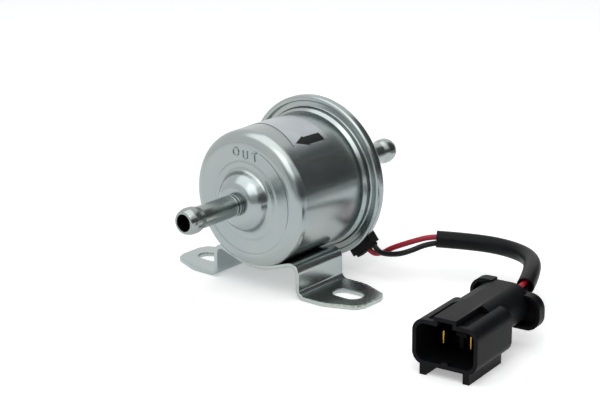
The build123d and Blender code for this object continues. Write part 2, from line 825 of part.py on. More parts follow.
def connector_rear_holder():
    """Clip-on rear cap: a shell that stands off the housing's sides, lower on the latch side and open on top."""
    end = waist_end + holder_wall
    inner_end = waist_end + seat_gap
    front = holder_start - 1
    inner_width = holder_width - 2 * holder_wall
    inner_round = holder_round - holder_wall
    body = None
    for side, top in ((-1, holder_top), (1, holder_top - holder_latch_drop)):
        shell = rounded_bar(holder_width, holder_bottom, top, holder_round, holder_start, end)
        shell -= rounded_bar(inner_width, holder_bottom + holder_wall, top - holder_wall, inner_round, front, inner_end)
        left, right = sorted((0, side * holder_width))
        half = Pos(holder_shift, 0, 0) * shell & block((left, front, 0), (right, end + 1, holder_top + 1))
        body = half if body is None else body + half
    gap = seat_gap
    body -= rounded_bar(waist_width + 2 * gap, waist_bottom - gap, key_top + gap, waist_round + gap, front, inner_end)
    body -= block((holder_window, front, holder_top - holder_wall), (holder_width, end + 1, holder_top + 1))
    for side in (-1, 1):
        body -= Pos(side * cavity_spacing / 2, 0, cavity_height) * rod(lead_radius + 0.6, waist_end - 1, end + 1)
    return body


sleeve_points = [Vector(*point) for point in sleeve_route]
sleeve_tube, sleeve_path = soft_tube("sleeve", sleeve_points, sleeve_radius)
sleeve_core = sweep(Plane(origin=sleeve_path @ 0, z_dir=sleeve_path % 0) * Circle(sleeve_bore), path=sleeve_path)
red_tube, red_path = soft_tube("red lead", lead_route(-1, red_loose), lead_radius)
black_tube, black_path = soft_tube("black lead", lead_route(1, black_loose), lead_radius)

return_start = plunger_back - spring_pocket_depth + 0.02
return_end = pole_front + pole_spring_pocket - 0.02
delivery_seat = plunger_front + valve_pocket_depth
delivery_valve_front = delivery_seat - valve_lift_gap - valve_thickness
inlet_seat_y = pole_back + seat_gap
inlet_valve_front = inlet_seat_y - valve_lift_gap - valve_thickness

pump_parts = {
    "barrel_can": barrel_can(),
    "rear_cover": rear_cover(),
    "outlet_nipple": nipple(front_boss_y, -1, outlet_length, can_wall),
    "inlet_nipple": nipple(rear_boss_y, 1, inlet_length, cover_wall),
    "cover_gasket": ring(mouth_radius - can_wall - 0.5, flange_radius, flange_back, cover_y),
    "flow_label": flow_label(),
    "wire_grommet": wire_grommet(),
    "board_leads": board_leads(),
    "front_pole_plate": pole_plate(front_inner + seat_gap, True),
    "rear_pole_plate": pole_plate(rear_plate_y, False),
    "coil_bobbin": coil_bobbin(),
    "coil_winding": between_flanges(tube_radius + 0.2 + bobbin_wall, winding_radius),
    "coil_tape": between_flanges(winding_radius + seat_gap, winding_radius + seat_gap + tape_thickness),
    "retaining_ring": retaining_ring(),
    "guide_tube": ring(tube_bore, tube_radius, tube_front, tube_back),
    "stop_cushion": ring(hose_bore_radius, tube_bore - seat_gap, cushion_y(), cushion_y() + cushion_length),
    "plunger": plunger(),
    "delivery_valve_disc": valve_disc(delivery_seat),
    "delivery_valve_spring": coil_spring(valve_spring_radius, valve_wire, valve_turns, plunger_front + 0.3 + retainer_thickness, delivery_valve_front),
    "delivery_valve_retainer": delivery_retainer(),
    "return_spring": coil_spring(return_spring_radius, return_wire, return_turns, return_start, return_end),
    "pole_piece": pole_piece(),
    "inlet_valve_disc": valve_disc(inlet_seat_y),
    "inlet_valve_spring": coil_spring(valve_spring_radius, valve_wire, valve_turns, pole_back - inlet_pocket_depth, inlet_valve_front),
    "inlet_valve_seat": ring(plunger_bore, tube_bore - seat_gap, inlet_seat_y, inlet_seat_y + seat_thickness),
    "inlet_filter": inlet_filter(),
    "board_insulator": board_insulator(),
    "circuit_board": circuit_board(),
    "power_transistor": power_transistor(),
    "capacitor": lying_rod(capacitor_radius, capacitor_length, 180, component_circle),
    "board_resistors": (lying_rod(resistor_radius, resistor_length, 115, component_circle)
                        + lying_rod(resistor_radius, resistor_length, 145, component_circle)),
    "seal_washer": ring(tube_radius + 0.1, boss_radius - can_wall - 0.3, inlet_skirt - seat_gap - washer_thickness, inlet_skirt - seat_gap),
}
for name, boss_skirt, outward in (("front_o_ring", outlet_skirt, -1), ("rear_o_ring", inlet_skirt, 1)):
    middle = boss_skirt + outward * (seal_section / 2 + 0.12)
    section = Pos(tube_radius + seat_gap + seal_section / 2, middle) * Circle(seal_section / 2)
    pump_parts[name] = revolve(section, Axis.Y)

connector_parts = {
    "connector_housing": connector_housing(),
    "connector_rear_holder": connector_rear_holder(),
    "terminal_lock": terminal_lock(),
    "blade_terminals": blade_terminal(-1) + blade_terminal(1),
    "wire_seals": wire_seal(-1) + wire_seal(1),
}

parts = {name: on_axis(shape) for name, shape in pump_parts.items()}
parts.update({name: connector_place * shape for name, shape in connector_parts.items()})
parts["mounting_bracket"] = mounting_bracket()
parts["wire_sleeve"] = sleeve_tube - sleeve_core
parts["red_wire"] = red_tube
parts["black_wire"] = black_tube

for name, shape in parts.items():
    export_step(shape, "parts/" + name + ".step")
print(len(parts), "nodes")
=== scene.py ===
"""Electric fuel pump: drawn steel can on a strap bracket, hose nipples, leads in a sleeve and a connector.

Shapes are worked out in millimetres and written to the meshes in metres. The properties, the lights, the
boards and the camera are in metres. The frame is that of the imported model: X across the feet, Y along the
pump from outlet to inlet, Z up.
"""
import math

import bmesh
import bpy
import numpy as np
from bpy.props import FloatProperty, PointerProperty, StringProperty
from mathutils import Matrix, Vector


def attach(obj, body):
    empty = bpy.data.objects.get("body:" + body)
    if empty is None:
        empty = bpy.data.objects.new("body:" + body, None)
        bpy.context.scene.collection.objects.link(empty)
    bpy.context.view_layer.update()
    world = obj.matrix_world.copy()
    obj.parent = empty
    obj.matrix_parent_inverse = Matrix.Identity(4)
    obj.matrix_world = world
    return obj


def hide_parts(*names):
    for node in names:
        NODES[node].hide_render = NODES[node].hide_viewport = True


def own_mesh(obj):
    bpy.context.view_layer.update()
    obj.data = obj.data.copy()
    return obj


bl_info = {
    "name": "Fuel Pump",
    "version": (1, 0, 0),
    "blender": (4, 5, 0),
    "location": "3D View > Sidebar > Fuel Pump",
    "description": "Dresses an electric fuel pump with plated steel, sticker, leads and connector",
    "category": "Add Mesh",
}

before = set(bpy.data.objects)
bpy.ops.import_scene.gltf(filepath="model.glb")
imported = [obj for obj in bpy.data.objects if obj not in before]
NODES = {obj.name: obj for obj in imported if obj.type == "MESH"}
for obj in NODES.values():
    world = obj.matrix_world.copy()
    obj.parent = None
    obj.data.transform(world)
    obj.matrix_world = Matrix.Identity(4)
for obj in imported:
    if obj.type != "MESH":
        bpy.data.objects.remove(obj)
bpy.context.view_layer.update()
MM = 0.001
AXIS_HEIGHT = 34.2
SMOOTH_ANGLE = 38.0
MERGE_DISTANCE = 2e-6


# Small helpers shared by all pieces

def linear(hex_colour):
    """sRGB hex colour as a linear RGBA tuple."""
    digits = hex_colour.lstrip("#")
    values = [int(digits[i:i + 2], 16) / 255 for i in (0, 2, 4)]
    return tuple(v / 12.92 if v <= 0.04045 else ((v + 0.055) / 1.055) ** 2.4 for v in values) + (1.0,)


def set_up(thing, **settings):
    """The thing, with its attributes set."""
    for name, value in settings.items():
        setattr(thing, name, value)
    return thing


def add_node(tree, kind, sockets=None, stops=(), **settings):
    """Adds one shader node with its settings, colour stops, socket values and links from other outputs."""
    made = set_up(tree.nodes.new(kind), **settings)
    for index, (position, colour) in enumerate(stops):
        made.color_ramp.elements[index].position = position
        made.color_ramp.elements[index].color = linear(colour)
    for name, value in (sockets or {}).items():
        if isinstance(value, bpy.types.NodeSocket):
            tree.links.new(value, made.inputs[name])
        else:
            made.inputs[name].default_value = value
    return made


def new_material(name, maker, *values):
    """Material whose surface is the shader that the maker adds to its node tree."""
    made = bpy.data.materials.new(name)
    made.use_nodes = True
    tree = made.node_tree
    tree.nodes.clear()
    shader = maker(tree, *values)
    add_node(tree, "ShaderNodeOutputMaterial", {"Surface": shader.outputs[0]})
    return made


def object_pattern(tree, scale=(1, 1, 1)):
    """Object coordinates, scaled per axis, for a pattern that stays on the piece."""
    place = add_node(tree, "ShaderNodeTexCoord")
    mapping = add_node(tree, "ShaderNodeMapping", {"Vector": place.outputs["Object"], "Scale": scale})
    return mapping.outputs["Vector"]


def per_mm(size):
    """Noise scale whose features are about this many millimetres across."""
    return 1000.0 / size


def linked_object(name, data):
    """Object with that data, at the origin of the scene."""
    made = bpy.data.objects.new(name, data)
    bpy.context.scene.collection.objects.link(made)
    return made


def bare_mesh(name, points, faces):
    """Mesh from points in metres and faces, as arrays or lists."""
    mesh = bpy.data.meshes.new(name)
    mesh.from_pydata(np.asarray(points, float).tolist(), [], [list(map(int, face)) for face in faces])
    return mesh


def evaluated_mesh(made):
    """New mesh of what an object's modifiers or curve settings make of it."""
    bpy.context.view_layer.update()
    graph = bpy.context.evaluated_depsgraph_get()
    return bpy.data.meshes.new_from_object(made.evaluated_get(graph))


def apply_modifiers(made):
    """Replaces the object's mesh by what its modifiers make of it."""
    mesh = evaluated_mesh(made)
    made.modifiers.clear()
    old = made.data
    made.data = mesh
    bpy.data.meshes.remove(old)


def clean_shell(made):
    """Merges doubles, which closes seams and poles, and points the faces outwards."""
    work = bmesh.new()
    work.from_mesh(made.data)
    bmesh.ops.remove_doubles(work, verts=work.verts, dist=MERGE_DISTANCE)
    bmesh.ops.dissolve_degenerate(work, edges=work.edges, dist=1e-6)
    bmesh.ops.recalc_face_normals(work, faces=work.faces)
    work.to_mesh(made.data)
    work.free()


def shade(made, angle=SMOOTH_ANGLE):
    """Smooth shading, with edges sharper than the angle left sharp."""
    made.data.polygons.foreach_set("use_smooth", [True] * len(made.data.polygons))
    made.data.set_sharp_from_angle(angle=math.radians(angle))


def dress(made, finish, body="pump"):
    """Gives a piece its finish, and the body that it rides on."""
    made.data.materials.clear()
    made.data.materials.append(finish)
    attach(made, body)


def mesh_object(name, points, faces, finish, body="pump"):
    """Finished piece from an array of points in millimetres and an array or list of faces."""
    made = linked_object(name, bare_mesh(name, np.asarray(points, float) * MM, faces))
    clean_shell(made)
    shade(made)
    dress(made, finish, body)
    return made


def edge_rounding(made, name, width, angle):
    """Bevel of three segments in metres on the edges that are sharper than the angle."""
    set_up(
        made.modifiers.new(name, "BEVEL"), width=width, segments=3, limit_method="ANGLE",
        angle_limit=math.radians(angle), harden_normals=True,
    )


def grid_faces(rows, columns, wrap_rows=False, wrap_columns=False):
    """Quads of a grid of points stored row by row."""
    first = np.arange(rows if wrap_rows else rows - 1)
    second = np.arange(columns if wrap_columns else columns - 1)
    row, column = np.meshgrid(first, second, indexing="ij")
    next_row = (row + 1) % rows
    next_column = (column + 1) % columns
    corners = [row * columns + column, row * columns + next_column]
    corners += [next_row * columns + next_column, next_row * columns + column]
    return np.stack(corners, -1).reshape(-1, 4)


def rounded_profile(corners, steps=7, least=0.07, closed=True):
    """Points along a line through (radius, y, corner radius) rows.

    Each corner is a circular arc from one tangent point to the other: the tangent length is the corner
    radius over the tangent of half the inner angle, never more than 0.48 of the shorter side.
    """
    rows = np.asarray(corners, float)
    point = rows[:, :2]
    back = np.roll(point, 1, 0) - point
    ahead = np.roll(point, -1, 0) - point
    back_length = np.linalg.norm(back, axis=1)
    ahead_length = np.linalg.norm(ahead, axis=1)
    back /= back_length[:, None]
    ahead /= ahead_length[:, None]
    half = np.arccos(np.clip((back * ahead).sum(1), -1, 1)) / 2
    shorter = np.minimum(back_length, ahead_length)
    tangent = np.minimum(np.maximum(rows[:, 2], least) / np.tan(half), 0.48 * shorter)
    radius = tangent * np.tan(half)
    middle = back + ahead
    middle /= np.linalg.norm(middle, axis=1)[:, None]
    centre = point + middle * (radius / np.sin(half))[:, None]
    start = point + back * tangent[:, None] - centre
    end = point + ahead * tangent[:, None] - centre
    turn = np.arctan2(start[:, 0] * end[:, 1] - start[:, 1] * end[:, 0], (start * end).sum(1))
    angle = turn[:, None] * np.linspace(0, 1, steps)[None, :]
    cos, sin = np.cos(angle), np.sin(angle)
    x = centre[:, :1] + start[:, :1] * cos - start[:, 1:] * sin
    y = centre[:, 1:] + start[:, :1] * sin + start[:, 1:] * cos
    line = np.stack([x, y], -1)
    if not closed:
        line[0, :] = point[0]
        line[-1, :] = point[-1]
    return line.reshape(-1, 2)


def turned(name, corners, finish, around, steps=7):
    """Plated surface of revolution: each point (radius, y) of the rounded profile runs round the pump's axis,
    x = radius cos t, z = axis height + radius sin t. The profile is a closed line off the axis."""
    line = rounded_profile(corners, steps)
    t = np.linspace(0, 2 * np.pi, around, endpoint=False)
    x = line[:, :1] * np.cos(t)
    z = AXIS_HEIGHT + line[:, :1] * np.sin(t)
    y = np.broadcast_to(line[:, 1:], x.shape)
    points = np.stack([x, y, z], -1).reshape(-1, 3)
    return mesh_object(name, points, grid_faces(len(line), around, True, True), finish)


def softened(node, name, finish, width):
    """Copy of a rigid node's mesh with its edges rounded, which stands for the node."""
    angle = 35.0
    nearly_flat = 0.6
    made = NODES[node].copy()
    made.data = NODES[node].data.copy()
    made.name = name
    made.data.name = name
    made.parent = None
    for key in list(made.keys()):
        del made[key]
    bpy.context.scene.collection.objects.link(made)
    work = bmesh.new()
    work.from_mesh(made.data)
    bmesh.ops.remove_doubles(work, verts=work.verts, dist=MERGE_DISTANCE)
    bmesh.ops.dissolve_limit(work, angle_limit=math.radians(nearly_flat), verts=work.verts, edges=work.edges)
    work.to_mesh(made.data)
    work.free()
    while made.data.color_attributes:
        made.data.color_attributes.remove(made.data.color_attributes[0])
    shade(made, angle)
    edge_rounding(made, "edge rounding", width * MM, angle)
    dress(made, finish)
    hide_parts(node)


# Materials

def zinc_plate(tree, cool, warm, roughness, streak_axis, streaks, dimple):
    """Bright zinc plate with clear passivation on drawn or rolled steel.

    The base is a silver grey with a faint blue green cast. The plate is smooth but not a mirror: broad soft
    highlights, fine draw lines along the forming direction and slow waviness of the thin sheet.
    """
    place = object_pattern(tree)
    along = object_pattern(tree, [0.08 if axis == streak_axis else 1.0 for axis in "XYZ"])
    cloud = add_node(tree, "ShaderNodeTexNoise", {
        "Vector": place, "Scale": per_mm(26), "Detail": 3.0, "Roughness": 0.5,
    })
    tint = add_node(tree, "ShaderNodeValToRGB", {"Fac": cloud.outputs["Fac"]}, ((0.32, cool), (0.70, warm)))
    lines = add_node(tree, "ShaderNodeTexNoise", {
        "Vector": along, "Scale": per_mm(0.9), "Detail": 4.0, "Roughness": 0.6,
    })
    gloss = add_node(tree, "ShaderNodeMapRange", {
        "Value": lines.outputs["Fac"], "From Min": 0.3, "From Max": 0.7,
        "To Min": roughness - 0.08 * streaks, "To Max": roughness + 0.10 * streaks,
    })
    wave = add_node(tree, "ShaderNodeTexNoise", {
        "Vector": place, "Scale": per_mm(9), "Detail": 2.0, "Roughness": 0.4,
    })
    slow = add_node(tree, "ShaderNodeBump", {
        "Height": wave.outputs["Fac"], "Strength": 0.05 * dimple, "Distance": 0.6 * MM,
    })
    fine = add_node(tree, "ShaderNodeBump", {
        "Height": lines.outputs["Fac"], "Strength": 0.01 * streaks, "Distance": 0.1 * MM,
        "Normal": slow.outputs["Normal"],
    })
    return add_node(tree, "ShaderNodeBsdfPrincipled", {
        "Base Color": tint.outputs["Color"], "Metallic": 1.0,
        "Roughness": gloss.outputs["Result"], "Normal": fine.outputs["Normal"],
    })


def plain_metal(tree, colour, roughness, grain):
    """Bare machined or rolled metal: even colour, with a fine grain in its gloss."""
    noise = add_node(tree, "ShaderNodeTexNoise", {
        "Vector": object_pattern(tree), "Scale": per_mm(grain), "Detail": 3.0,
    })
    gloss = add_node(tree, "ShaderNodeMapRange", {
        "Value": noise.outputs["Fac"], "To Min": roughness - 0.06, "To Max": roughness + 0.08,
    })
    bump = add_node(tree, "ShaderNodeBump", {
        "Height": noise.outputs["Fac"], "Strength": 0.08, "Distance": 0.1 * MM,
    })
    return add_node(tree, "ShaderNodeBsdfPrincipled", {
        "Base Color": linear(colour), "Metallic": 1.0,
        "Roughness": gloss.outputs["Result"], "Normal": bump.outputs["Normal"],
    })


def moulded(tree, colour, worn, roughness, grain, depth, ior=1.5, specular=0.5):
    """Moulded plastic or rubber: base colour with a slightly lighter bloom, and the fine spark texture of
    its mould as bump."""
    place = object_pattern(tree)
    cloud = add_node(tree, "ShaderNodeTexNoise", {
        "Vector": place, "Scale": per_mm(7), "Detail": 4.0, "Roughness": 0.6,
    })
    bloom = add_node(tree, "ShaderNodeValToRGB", {
        "Fac": cloud.outputs["Fac"],
    }, ((0.35, colour), (0.75, worn)))
    spark = add_node(tree, "ShaderNodeTexNoise", {"Vector": place, "Scale": per_mm(grain), "Detail": 2.0})
    gloss = add_node(tree, "ShaderNodeMapRange", {
        "Value": cloud.outputs["Fac"], "To Min": roughness - 0.05, "To Max": roughness + 0.10,
    })
    bump = add_node(tree, "ShaderNodeBump", {
        "Height": spark.outputs["Fac"], "Strength": depth, "Distance": 0.1 * MM,
    })
    return add_node(tree, "ShaderNodeBsdfPrincipled", {
        "Base Color": bloom.outputs["Color"], "Roughness": gloss.outputs["Result"], "IOR": ior,
        "Specular IOR Level": specular, "Normal": bump.outputs["Normal"],
    })


def sticker_film(tree, shade_colour, film_colour, steel_colour):
    """Printed polyester sticker, silver white: a satin film over metallised backing, a little cloudy.

    Lower down, the film turns fully metallic, which reflects, and steel grey, which is painted shade for a
    dark reflection.
    """
    place = object_pattern(tree)
    parts = add_node(tree, "ShaderNodeSeparateXYZ", {"Vector": place})
    # painted shade: below these heights the film's colour darkens to the steel grey
    shade_full_below, shade_gone_above = AXIS_HEIGHT + 17.4, AXIS_HEIGHT + 21.4
    above_shade = add_node(tree, "ShaderNodeMapRange", {
        "Value": parts.outputs["Z"], "From Min": shade_full_below * MM, "From Max": shade_gone_above * MM,
    })
    share = above_shade.outputs["Result"]
    cloud = add_node(tree, "ShaderNodeTexNoise", {"Vector": place, "Scale": per_mm(11), "Detail": 3.0})
    tint = add_node(tree, "ShaderNodeValToRGB", {
        "Fac": cloud.outputs["Fac"],
    }, ((0.3, shade_colour), (0.7, film_colour)))
    satin = add_node(tree, "ShaderNodeMapRange", {"Value": share, "To Min": 0.245, "To Max": 0.34})
    gloss = add_node(tree, "ShaderNodeMapRange", {
        "Value": cloud.outputs["Fac"], "To Min": 0.24, "To Max": satin.outputs["Result"],
    })
    metal = add_node(tree, "ShaderNodeMapRange", {"Value": share, "To Min": 1.0, "To Max": 0.85})
    # sockets 6 and 7 of a colour mix are its two colours, and output 2 is the mixed one
    film_or_shaded_steel = add_node(tree, "ShaderNodeMix", {
        0: share, 6: linear(steel_colour), 7: tint.outputs["Color"],
    }, data_type="RGBA")
    bump = add_node(tree, "ShaderNodeBump", {
        "Height": cloud.outputs["Fac"], "Strength": 0.05, "Distance": 0.5 * MM,
    })
    return add_node(tree, "ShaderNodeBsdfPrincipled", {
        "Base Color": film_or_shaded_steel.outputs[2], "Metallic": metal.outputs["Result"],
        "Roughness": gloss.outputs["Result"], "Normal": bump.outputs["Normal"],
    })


def wound_copper(tree):
    """Enamelled copper wire in close layers: the ridges of its turns as bump along Y, with painted shade in
    the grooves.

    They are drawn just under 1 mm apart, about twice as coarse as the wire, so that they show. The wave runs
    through 20 radians in one unit of its scale.
    """
    ridges = add_node(tree, "ShaderNodeTexWave", {
        "Vector": object_pattern(tree), "Scale": per_mm(0.987) * 2 * math.pi / 20, "Distortion": 0.2,
    }, bands_direction="Y")
    bump = add_node(tree, "ShaderNodeBump", {
        "Height": ridges.outputs["Fac"], "Strength": 0.8, "Distance": 0.2 * MM,
    })
    # painted shade: dark brown in the grooves between the turns, copper on the crests
    tint = add_node(tree, "ShaderNodeValToRGB", {
        "Fac": ridges.outputs["Fac"],
    }, ((0.0, "#4A1E0C"), (1.0, "#B8622E")))
    return add_node(tree, "ShaderNodeBsdfPrincipled", {
        "Base Color": tint.outputs["Color"], "Metallic": 0.8, "Roughness": 0.32,
        "Normal": bump.outputs["Normal"],
    })


# Sizes and colours that a user would change

def length_setting(name, description, default, low, high):
    """Length property, from values in millimetres."""
    return FloatProperty(
        name=name, description=description, default=default * MM, min=low * MM, max=high * MM, unit="LENGTH",
    )


def power_setting(name, description, default):
    """Power of a lamp."""
    return FloatProperty(name=name, description=description, default=default, min=0.0, unit="POWER")


def colour_setting(name, description, default):
    """Colour property, as an sRGB hex value."""
    return StringProperty(name=name, description=description, default=default)


class PumpSizes(bpy.types.PropertyGroup):
    """Sizes of the pieces that the scene makes itself."""
    letter_height: length_setting("Letter height", "Height of the pressed flow word", 3.1, 1.0, 10.0)
    letter_relief: length_setting("Letter relief", "How far the pressed letters stand out", 0.3, 0.0, 1.0)
    stamped_edge: length_setting("Stamped edge", "Rounding of the bracket's punched edges", 0.45, 0.0, 0.6)
    moulded_edge: length_setting("Moulded edge", "Rounding of the connector's moulded edges", 0.35, 0.0, 1.0)
    sticker_thickness: length_setting("Sticker thickness", "Thickness of the printed film", 0.05, 0.01, 0.5)
    lead_diameter: length_setting("Lead diameter", "Outer diameter of each lead", 2.0, 1.0, 4.0)
    sleeve_diameter: length_setting("Sleeve diameter", "Outer diameter of the leads' sleeve", 6.2, 4.0, 10.0)


class PumpColours(bpy.types.PropertyGroup):
    """Colours of the finishes."""
    can_cool: colour_setting("Can, cool", "Cooler cast of the can's zinc", "#99A3A5")
    can_warm: colour_setting("Can, warm", "Warmer cast of the can's zinc", "#A4AAA6")
    nipple_cool: colour_setting("Nipple, cool", "Cooler cast of the outlet nipple's zinc", "#8D9799")
    nipple_warm: colour_setting("Nipple, warm", "Warmer cast of the outlet nipple's zinc", "#989E9A")
    bracket_cool: colour_setting("Bracket, cool", "Cooler cast of the bracket's zinc", "#A2ADAE")
    bracket_warm: colour_setting("Bracket, warm", "Warmer cast of the bracket's zinc", "#B0B6B1")
    sticker: colour_setting("Sticker", "Silver film of the sticker", "#B9BFC2")
    sticker_shade: colour_setting("Sticker shade", "Cloudier parts of the film", "#AAB0B4")
    print_black: colour_setting("Print", "Black print on the sticker", "#0E1011")
    red_lead: colour_setting("Red lead", "Insulation of the live lead", "#A20F26")
    black_lead: colour_setting("Black lead", "Insulation of the earth lead", "#0D0D0F")
    sleeve: colour_setting("Sleeve", "Vinyl sleeve round the leads", "#0F1011")
    connector: colour_setting("Connector", "Moulded nylon of the connector", "#0D0E10")
    rubber: colour_setting("Rubber", "Grommet and gasket", "#0A0A0B")
    blade: colour_setting("Blade", "Brass of the blades", "#C79A3E")


class StageSettings(bpy.types.PropertyGroup):
    """Light and floor."""
    key_power: power_setting("Key power", "Power of the large overhead light", 4.2)
    fill_power: power_setting("Fill power", "Power of the light above the camera", 1.5)
    floor: colour_setting("Floor", "Colour of the floor", "#FFFFFF")


def sizes():
    """Sizes as the user has set them."""
    return bpy.context.scene.pump_sizes


def colours():
    """Colours as the user has set them."""
    return bpy.context.scene.pump_colours


MATERIALS = {}


def finishes():
    """Each finish: the function that makes its shader, the material's name, and the function's values."""
    c = colours()
    can = (c.can_cool, c.can_warm)
    tube = (c.nipple_cool, c.nipple_warm)
    strap = (c.bracket_cool, c.bracket_warm)
    return {
        # Plated steel: broad soft highlights, with faint draw lines along the way the sheet was formed
        "can plate": (zinc_plate, "Zinc plated drawn steel", *can, 0.235, "Y", 0.3, 0.6),
        "face plate": (zinc_plate, "Zinc plated steel face", *can, 0.30, "X", 0.3, 0.4),
        "nipple plate": (zinc_plate, "Zinc plated steel tube", *tube, 0.20, "Y", 0.4, 0.3),
        "bracket plate": (zinc_plate, "Zinc plated steel strap", *strap, 0.235, "X", 0.2, 0.15),
        # Sticker: satin silver, and ink that hardly shines
        "sticker": (sticker_film, "Printed silver film", c.sticker_shade, c.sticker, c.can_cool),
        "print": (moulded, "Black printing ink", c.print_black, c.print_black, 0.40, 0.3, 0.02, 1.5, 0.15),
        # Extruded vinyl: smooth, with a soft sheen along its length
        "red pvc": (moulded, "Red PVC insulation", c.red_lead, "#AC152B", 0.32, 0.25, 0.05, 1.53, 0.35),
        "black pvc": (moulded, "Black PVC insulation", c.black_lead, "#141416", 0.34, 0.25, 0.05, 1.53, 0.2),
        "sleeve pvc": (moulded, "Black vinyl sleeving", c.sleeve, "#17181A", 0.40, 0.35, 0.06, 1.53, 0.09),
        # Moulded nylon: deep black with a dull, finely sparked skin
        "nylon": (moulded, "Black nylon 66 moulding", c.connector, "#141518", 0.40, 0.22, 0.08, 1.52, 0.08),
        # Rubbers: matt and even
        "rubber": (moulded, "Black nitrile rubber", c.rubber, "#101011", 0.62, 0.3, 0.10, 1.52, 0.18),
        "red rubber": (moulded, "Red silicone rubber", "#7E2A1E", "#8B3325", 0.50, 0.3, 0.15, 1.43),
        "brown rubber": (moulded, "Brown fluoro rubber", "#3A2418", "#46301F", 0.50, 0.3, 0.15, 1.5),
        # Bare metals: even colour, and a gloss broken by fine grain
        "brass": (plain_metal, "Bright brass strip", c.blade, 0.22, 0.3),
        "bronze mesh": (plain_metal, "Bronze wire mesh", "#A8834A", 0.34, 0.15),
        "steel": (plain_metal, "Turned mild steel", "#8E8F8F", 0.34, 0.3),
        "spring steel": (plain_metal, "Spring steel wire", "#9EA1A4", 0.26, 0.2),
        "winding": (wound_copper, "Enamelled copper winding"),
        # Coil and board: pale nylon, glossy tape and film, dull fibre, glass cloth, epoxy and lacquer
        "natural nylon": (moulded, "Natural nylon bobbin", "#CFC8B2", "#D8D2BF", 0.42, 0.3, 0.10, 1.52),
        "film tape": (moulded, "Polyester film tape", "#B9932E", "#C79F38", 0.20, 1.0, 0.05, 1.6),
        "fibre": (moulded, "Pressed fibre board", "#6E4A2B", "#7C5635", 0.70, 0.4, 0.30, 1.5),
        "board": (moulded, "Glass epoxy board", "#144B29", "#1B5A33", 0.38, 0.5, 0.10, 1.55),
        "epoxy": (moulded, "Black moulding epoxy", "#161617", "#1F1F20", 0.45, 0.2, 0.15, 1.55),
        "ceramic": (moulded, "Tan lacquered ceramic", "#B08C58", "#BC9A67", 0.35, 0.3, 0.08, 1.55),
        "film blue": (moulded, "Blue shrink film", "#1B3C86", "#2448A0", 0.25, 0.5, 0.04, 1.55),
    }


def material(key):
    """Finish of that name, made when it is first asked for."""
    if key not in MATERIALS:
        maker, name, *values = finishes()[key]
        MATERIALS[key] = new_material(name, maker, *values)
    return MATERIALS[key]


# Profiles of the turned pieces as (radius, y, corner radius): those of the solids, but with the can's boss
# and shoulder as soft as drawn sheet has them

CAN_PROFILE = [
    (4.05, -23.2, 0), (7.1, -23.2, 5.5), (10.1, -20.2, 4.6), (11.2, -17.05, 2.4), (13.95, -17.05, 0.9),
    (14.6, -16.75, 0.9), (19.2, -16.75, 0.7), (19.75, -17.0, 0.7), (21.1, -16.95, 6.0), (23.2, -16.2, 4.6),
    (24.55, -14.75, 3.0), (25.0, -13.0, 4.0), (25.0, 18.6, 0.6), (26.1, 19.6, 0.6), (26.1, 21.5, 0.8),
    (29.2, 21.5, 0.25), (29.2, 22.6, 0.1), (25.0, 22.6, 0.4), (25.0, 20.06, 0.3), (23.9, 19.06, 0.3),
    (23.9, -15.65, 2.9), (9.3, -15.65, 0.5), (9.3, -19.7, 2.0), (6.9, -22.1, 2.0), (4.05, -22.1, 0),
]
COVER_PROFILE = [
    (28.4, 21.45, 0), (28.4, 20.3, 0.5), (30.5, 20.3, 1.6), (30.5, 24.4, 1.3),
    (25.0, 24.4, 0.8), (25.0, 31.5, 4.0), (10.4, 31.5, 0.8), (10.4, 37.7, 3.6),
    (4.05, 37.7, 0), (4.05, 36.7, 0), (9.3, 36.7, 2.5), (9.3, 30.5, 0.5),
    (24.0, 30.5, 3.0), (24.0, 23.4, 0), (29.25, 23.4, 0), (29.25, 21.45, 0),
]
NIPPLE_PROFILE = [
    (3.1, "tip", 0.12), (3.9, "tip", 0.5), (4.78, 1.9, 4.5), (4.78, 4.9, 4.5),
    (4.0, 7.2, 3.0), (4.0, "seat", 0.5), (3.4, "neck", 0.15), (3.4, 2.4, 0.1),
    (4.1, 2.4, 0.25), (4.1, 1.5, 0.25), (3.4, 1.5, 0.1), (3.4, 0.9, 0.1),
    (4.1, 0.9, 0.25), (4.1, 0.05, 0.05), (4.0, 0.05, 0), (4.0, "inside", 0),
    (6.8, "inside", 0), (9.0, "chamfer", 0), (9.0, "skirt", 0), (8.3, "skirt", 0),
    (8.3, "seal", 0), (6.8, "seal", 0), (6.8, "floor", 0), (3.1, "floor", 0),
]
BEAD_RADIUS = 4.78
BEAD_END = 7.2
# Piece, node, y of the boss's face, way out along Y, length, wall of the shell behind the boss, finish
NIPPLES = (
    ("outlet_tube", "outlet_nipple", -23.2, -1, 25.8, 1.1, "nipple plate"),
    ("inlet_tube", "inlet_nipple", 37.7, 1, 29.6, 1.0, "can plate"),
)
# Low and high corner of the slot before its turn, across, along Y and up, and the turn in degrees
GROMMET_SLOT = ((21.0, 25.35, -6.55), (29.0, 28.45, 4.45))
EXIT_ANGLE = 50.0


def nipple_rows(boss_y, outward, length, wall):
    """Profile of one nipple: distances count outwards from the boss's face, and on the bead from the tip."""
    inside = wall + 0.05
    skirt = inside + 6.0
    named = {
        "tip": length, "seat": 3.6, "neck": 3.1, "inside": -inside, "chamfer": -inside - 2.5,
        "skirt": -skirt, "seal": -skirt + 1.7, "floor": -inside - 1.2,
    }
    rows = []
    for radius, place, corner in NIPPLE_PROFILE:
        distance = named.get(place, place)
        if radius == BEAD_RADIUS or place == BEAD_END:
            distance = length - distance
        rows.append((radius, boss_y + outward * distance, corner))
    return rows


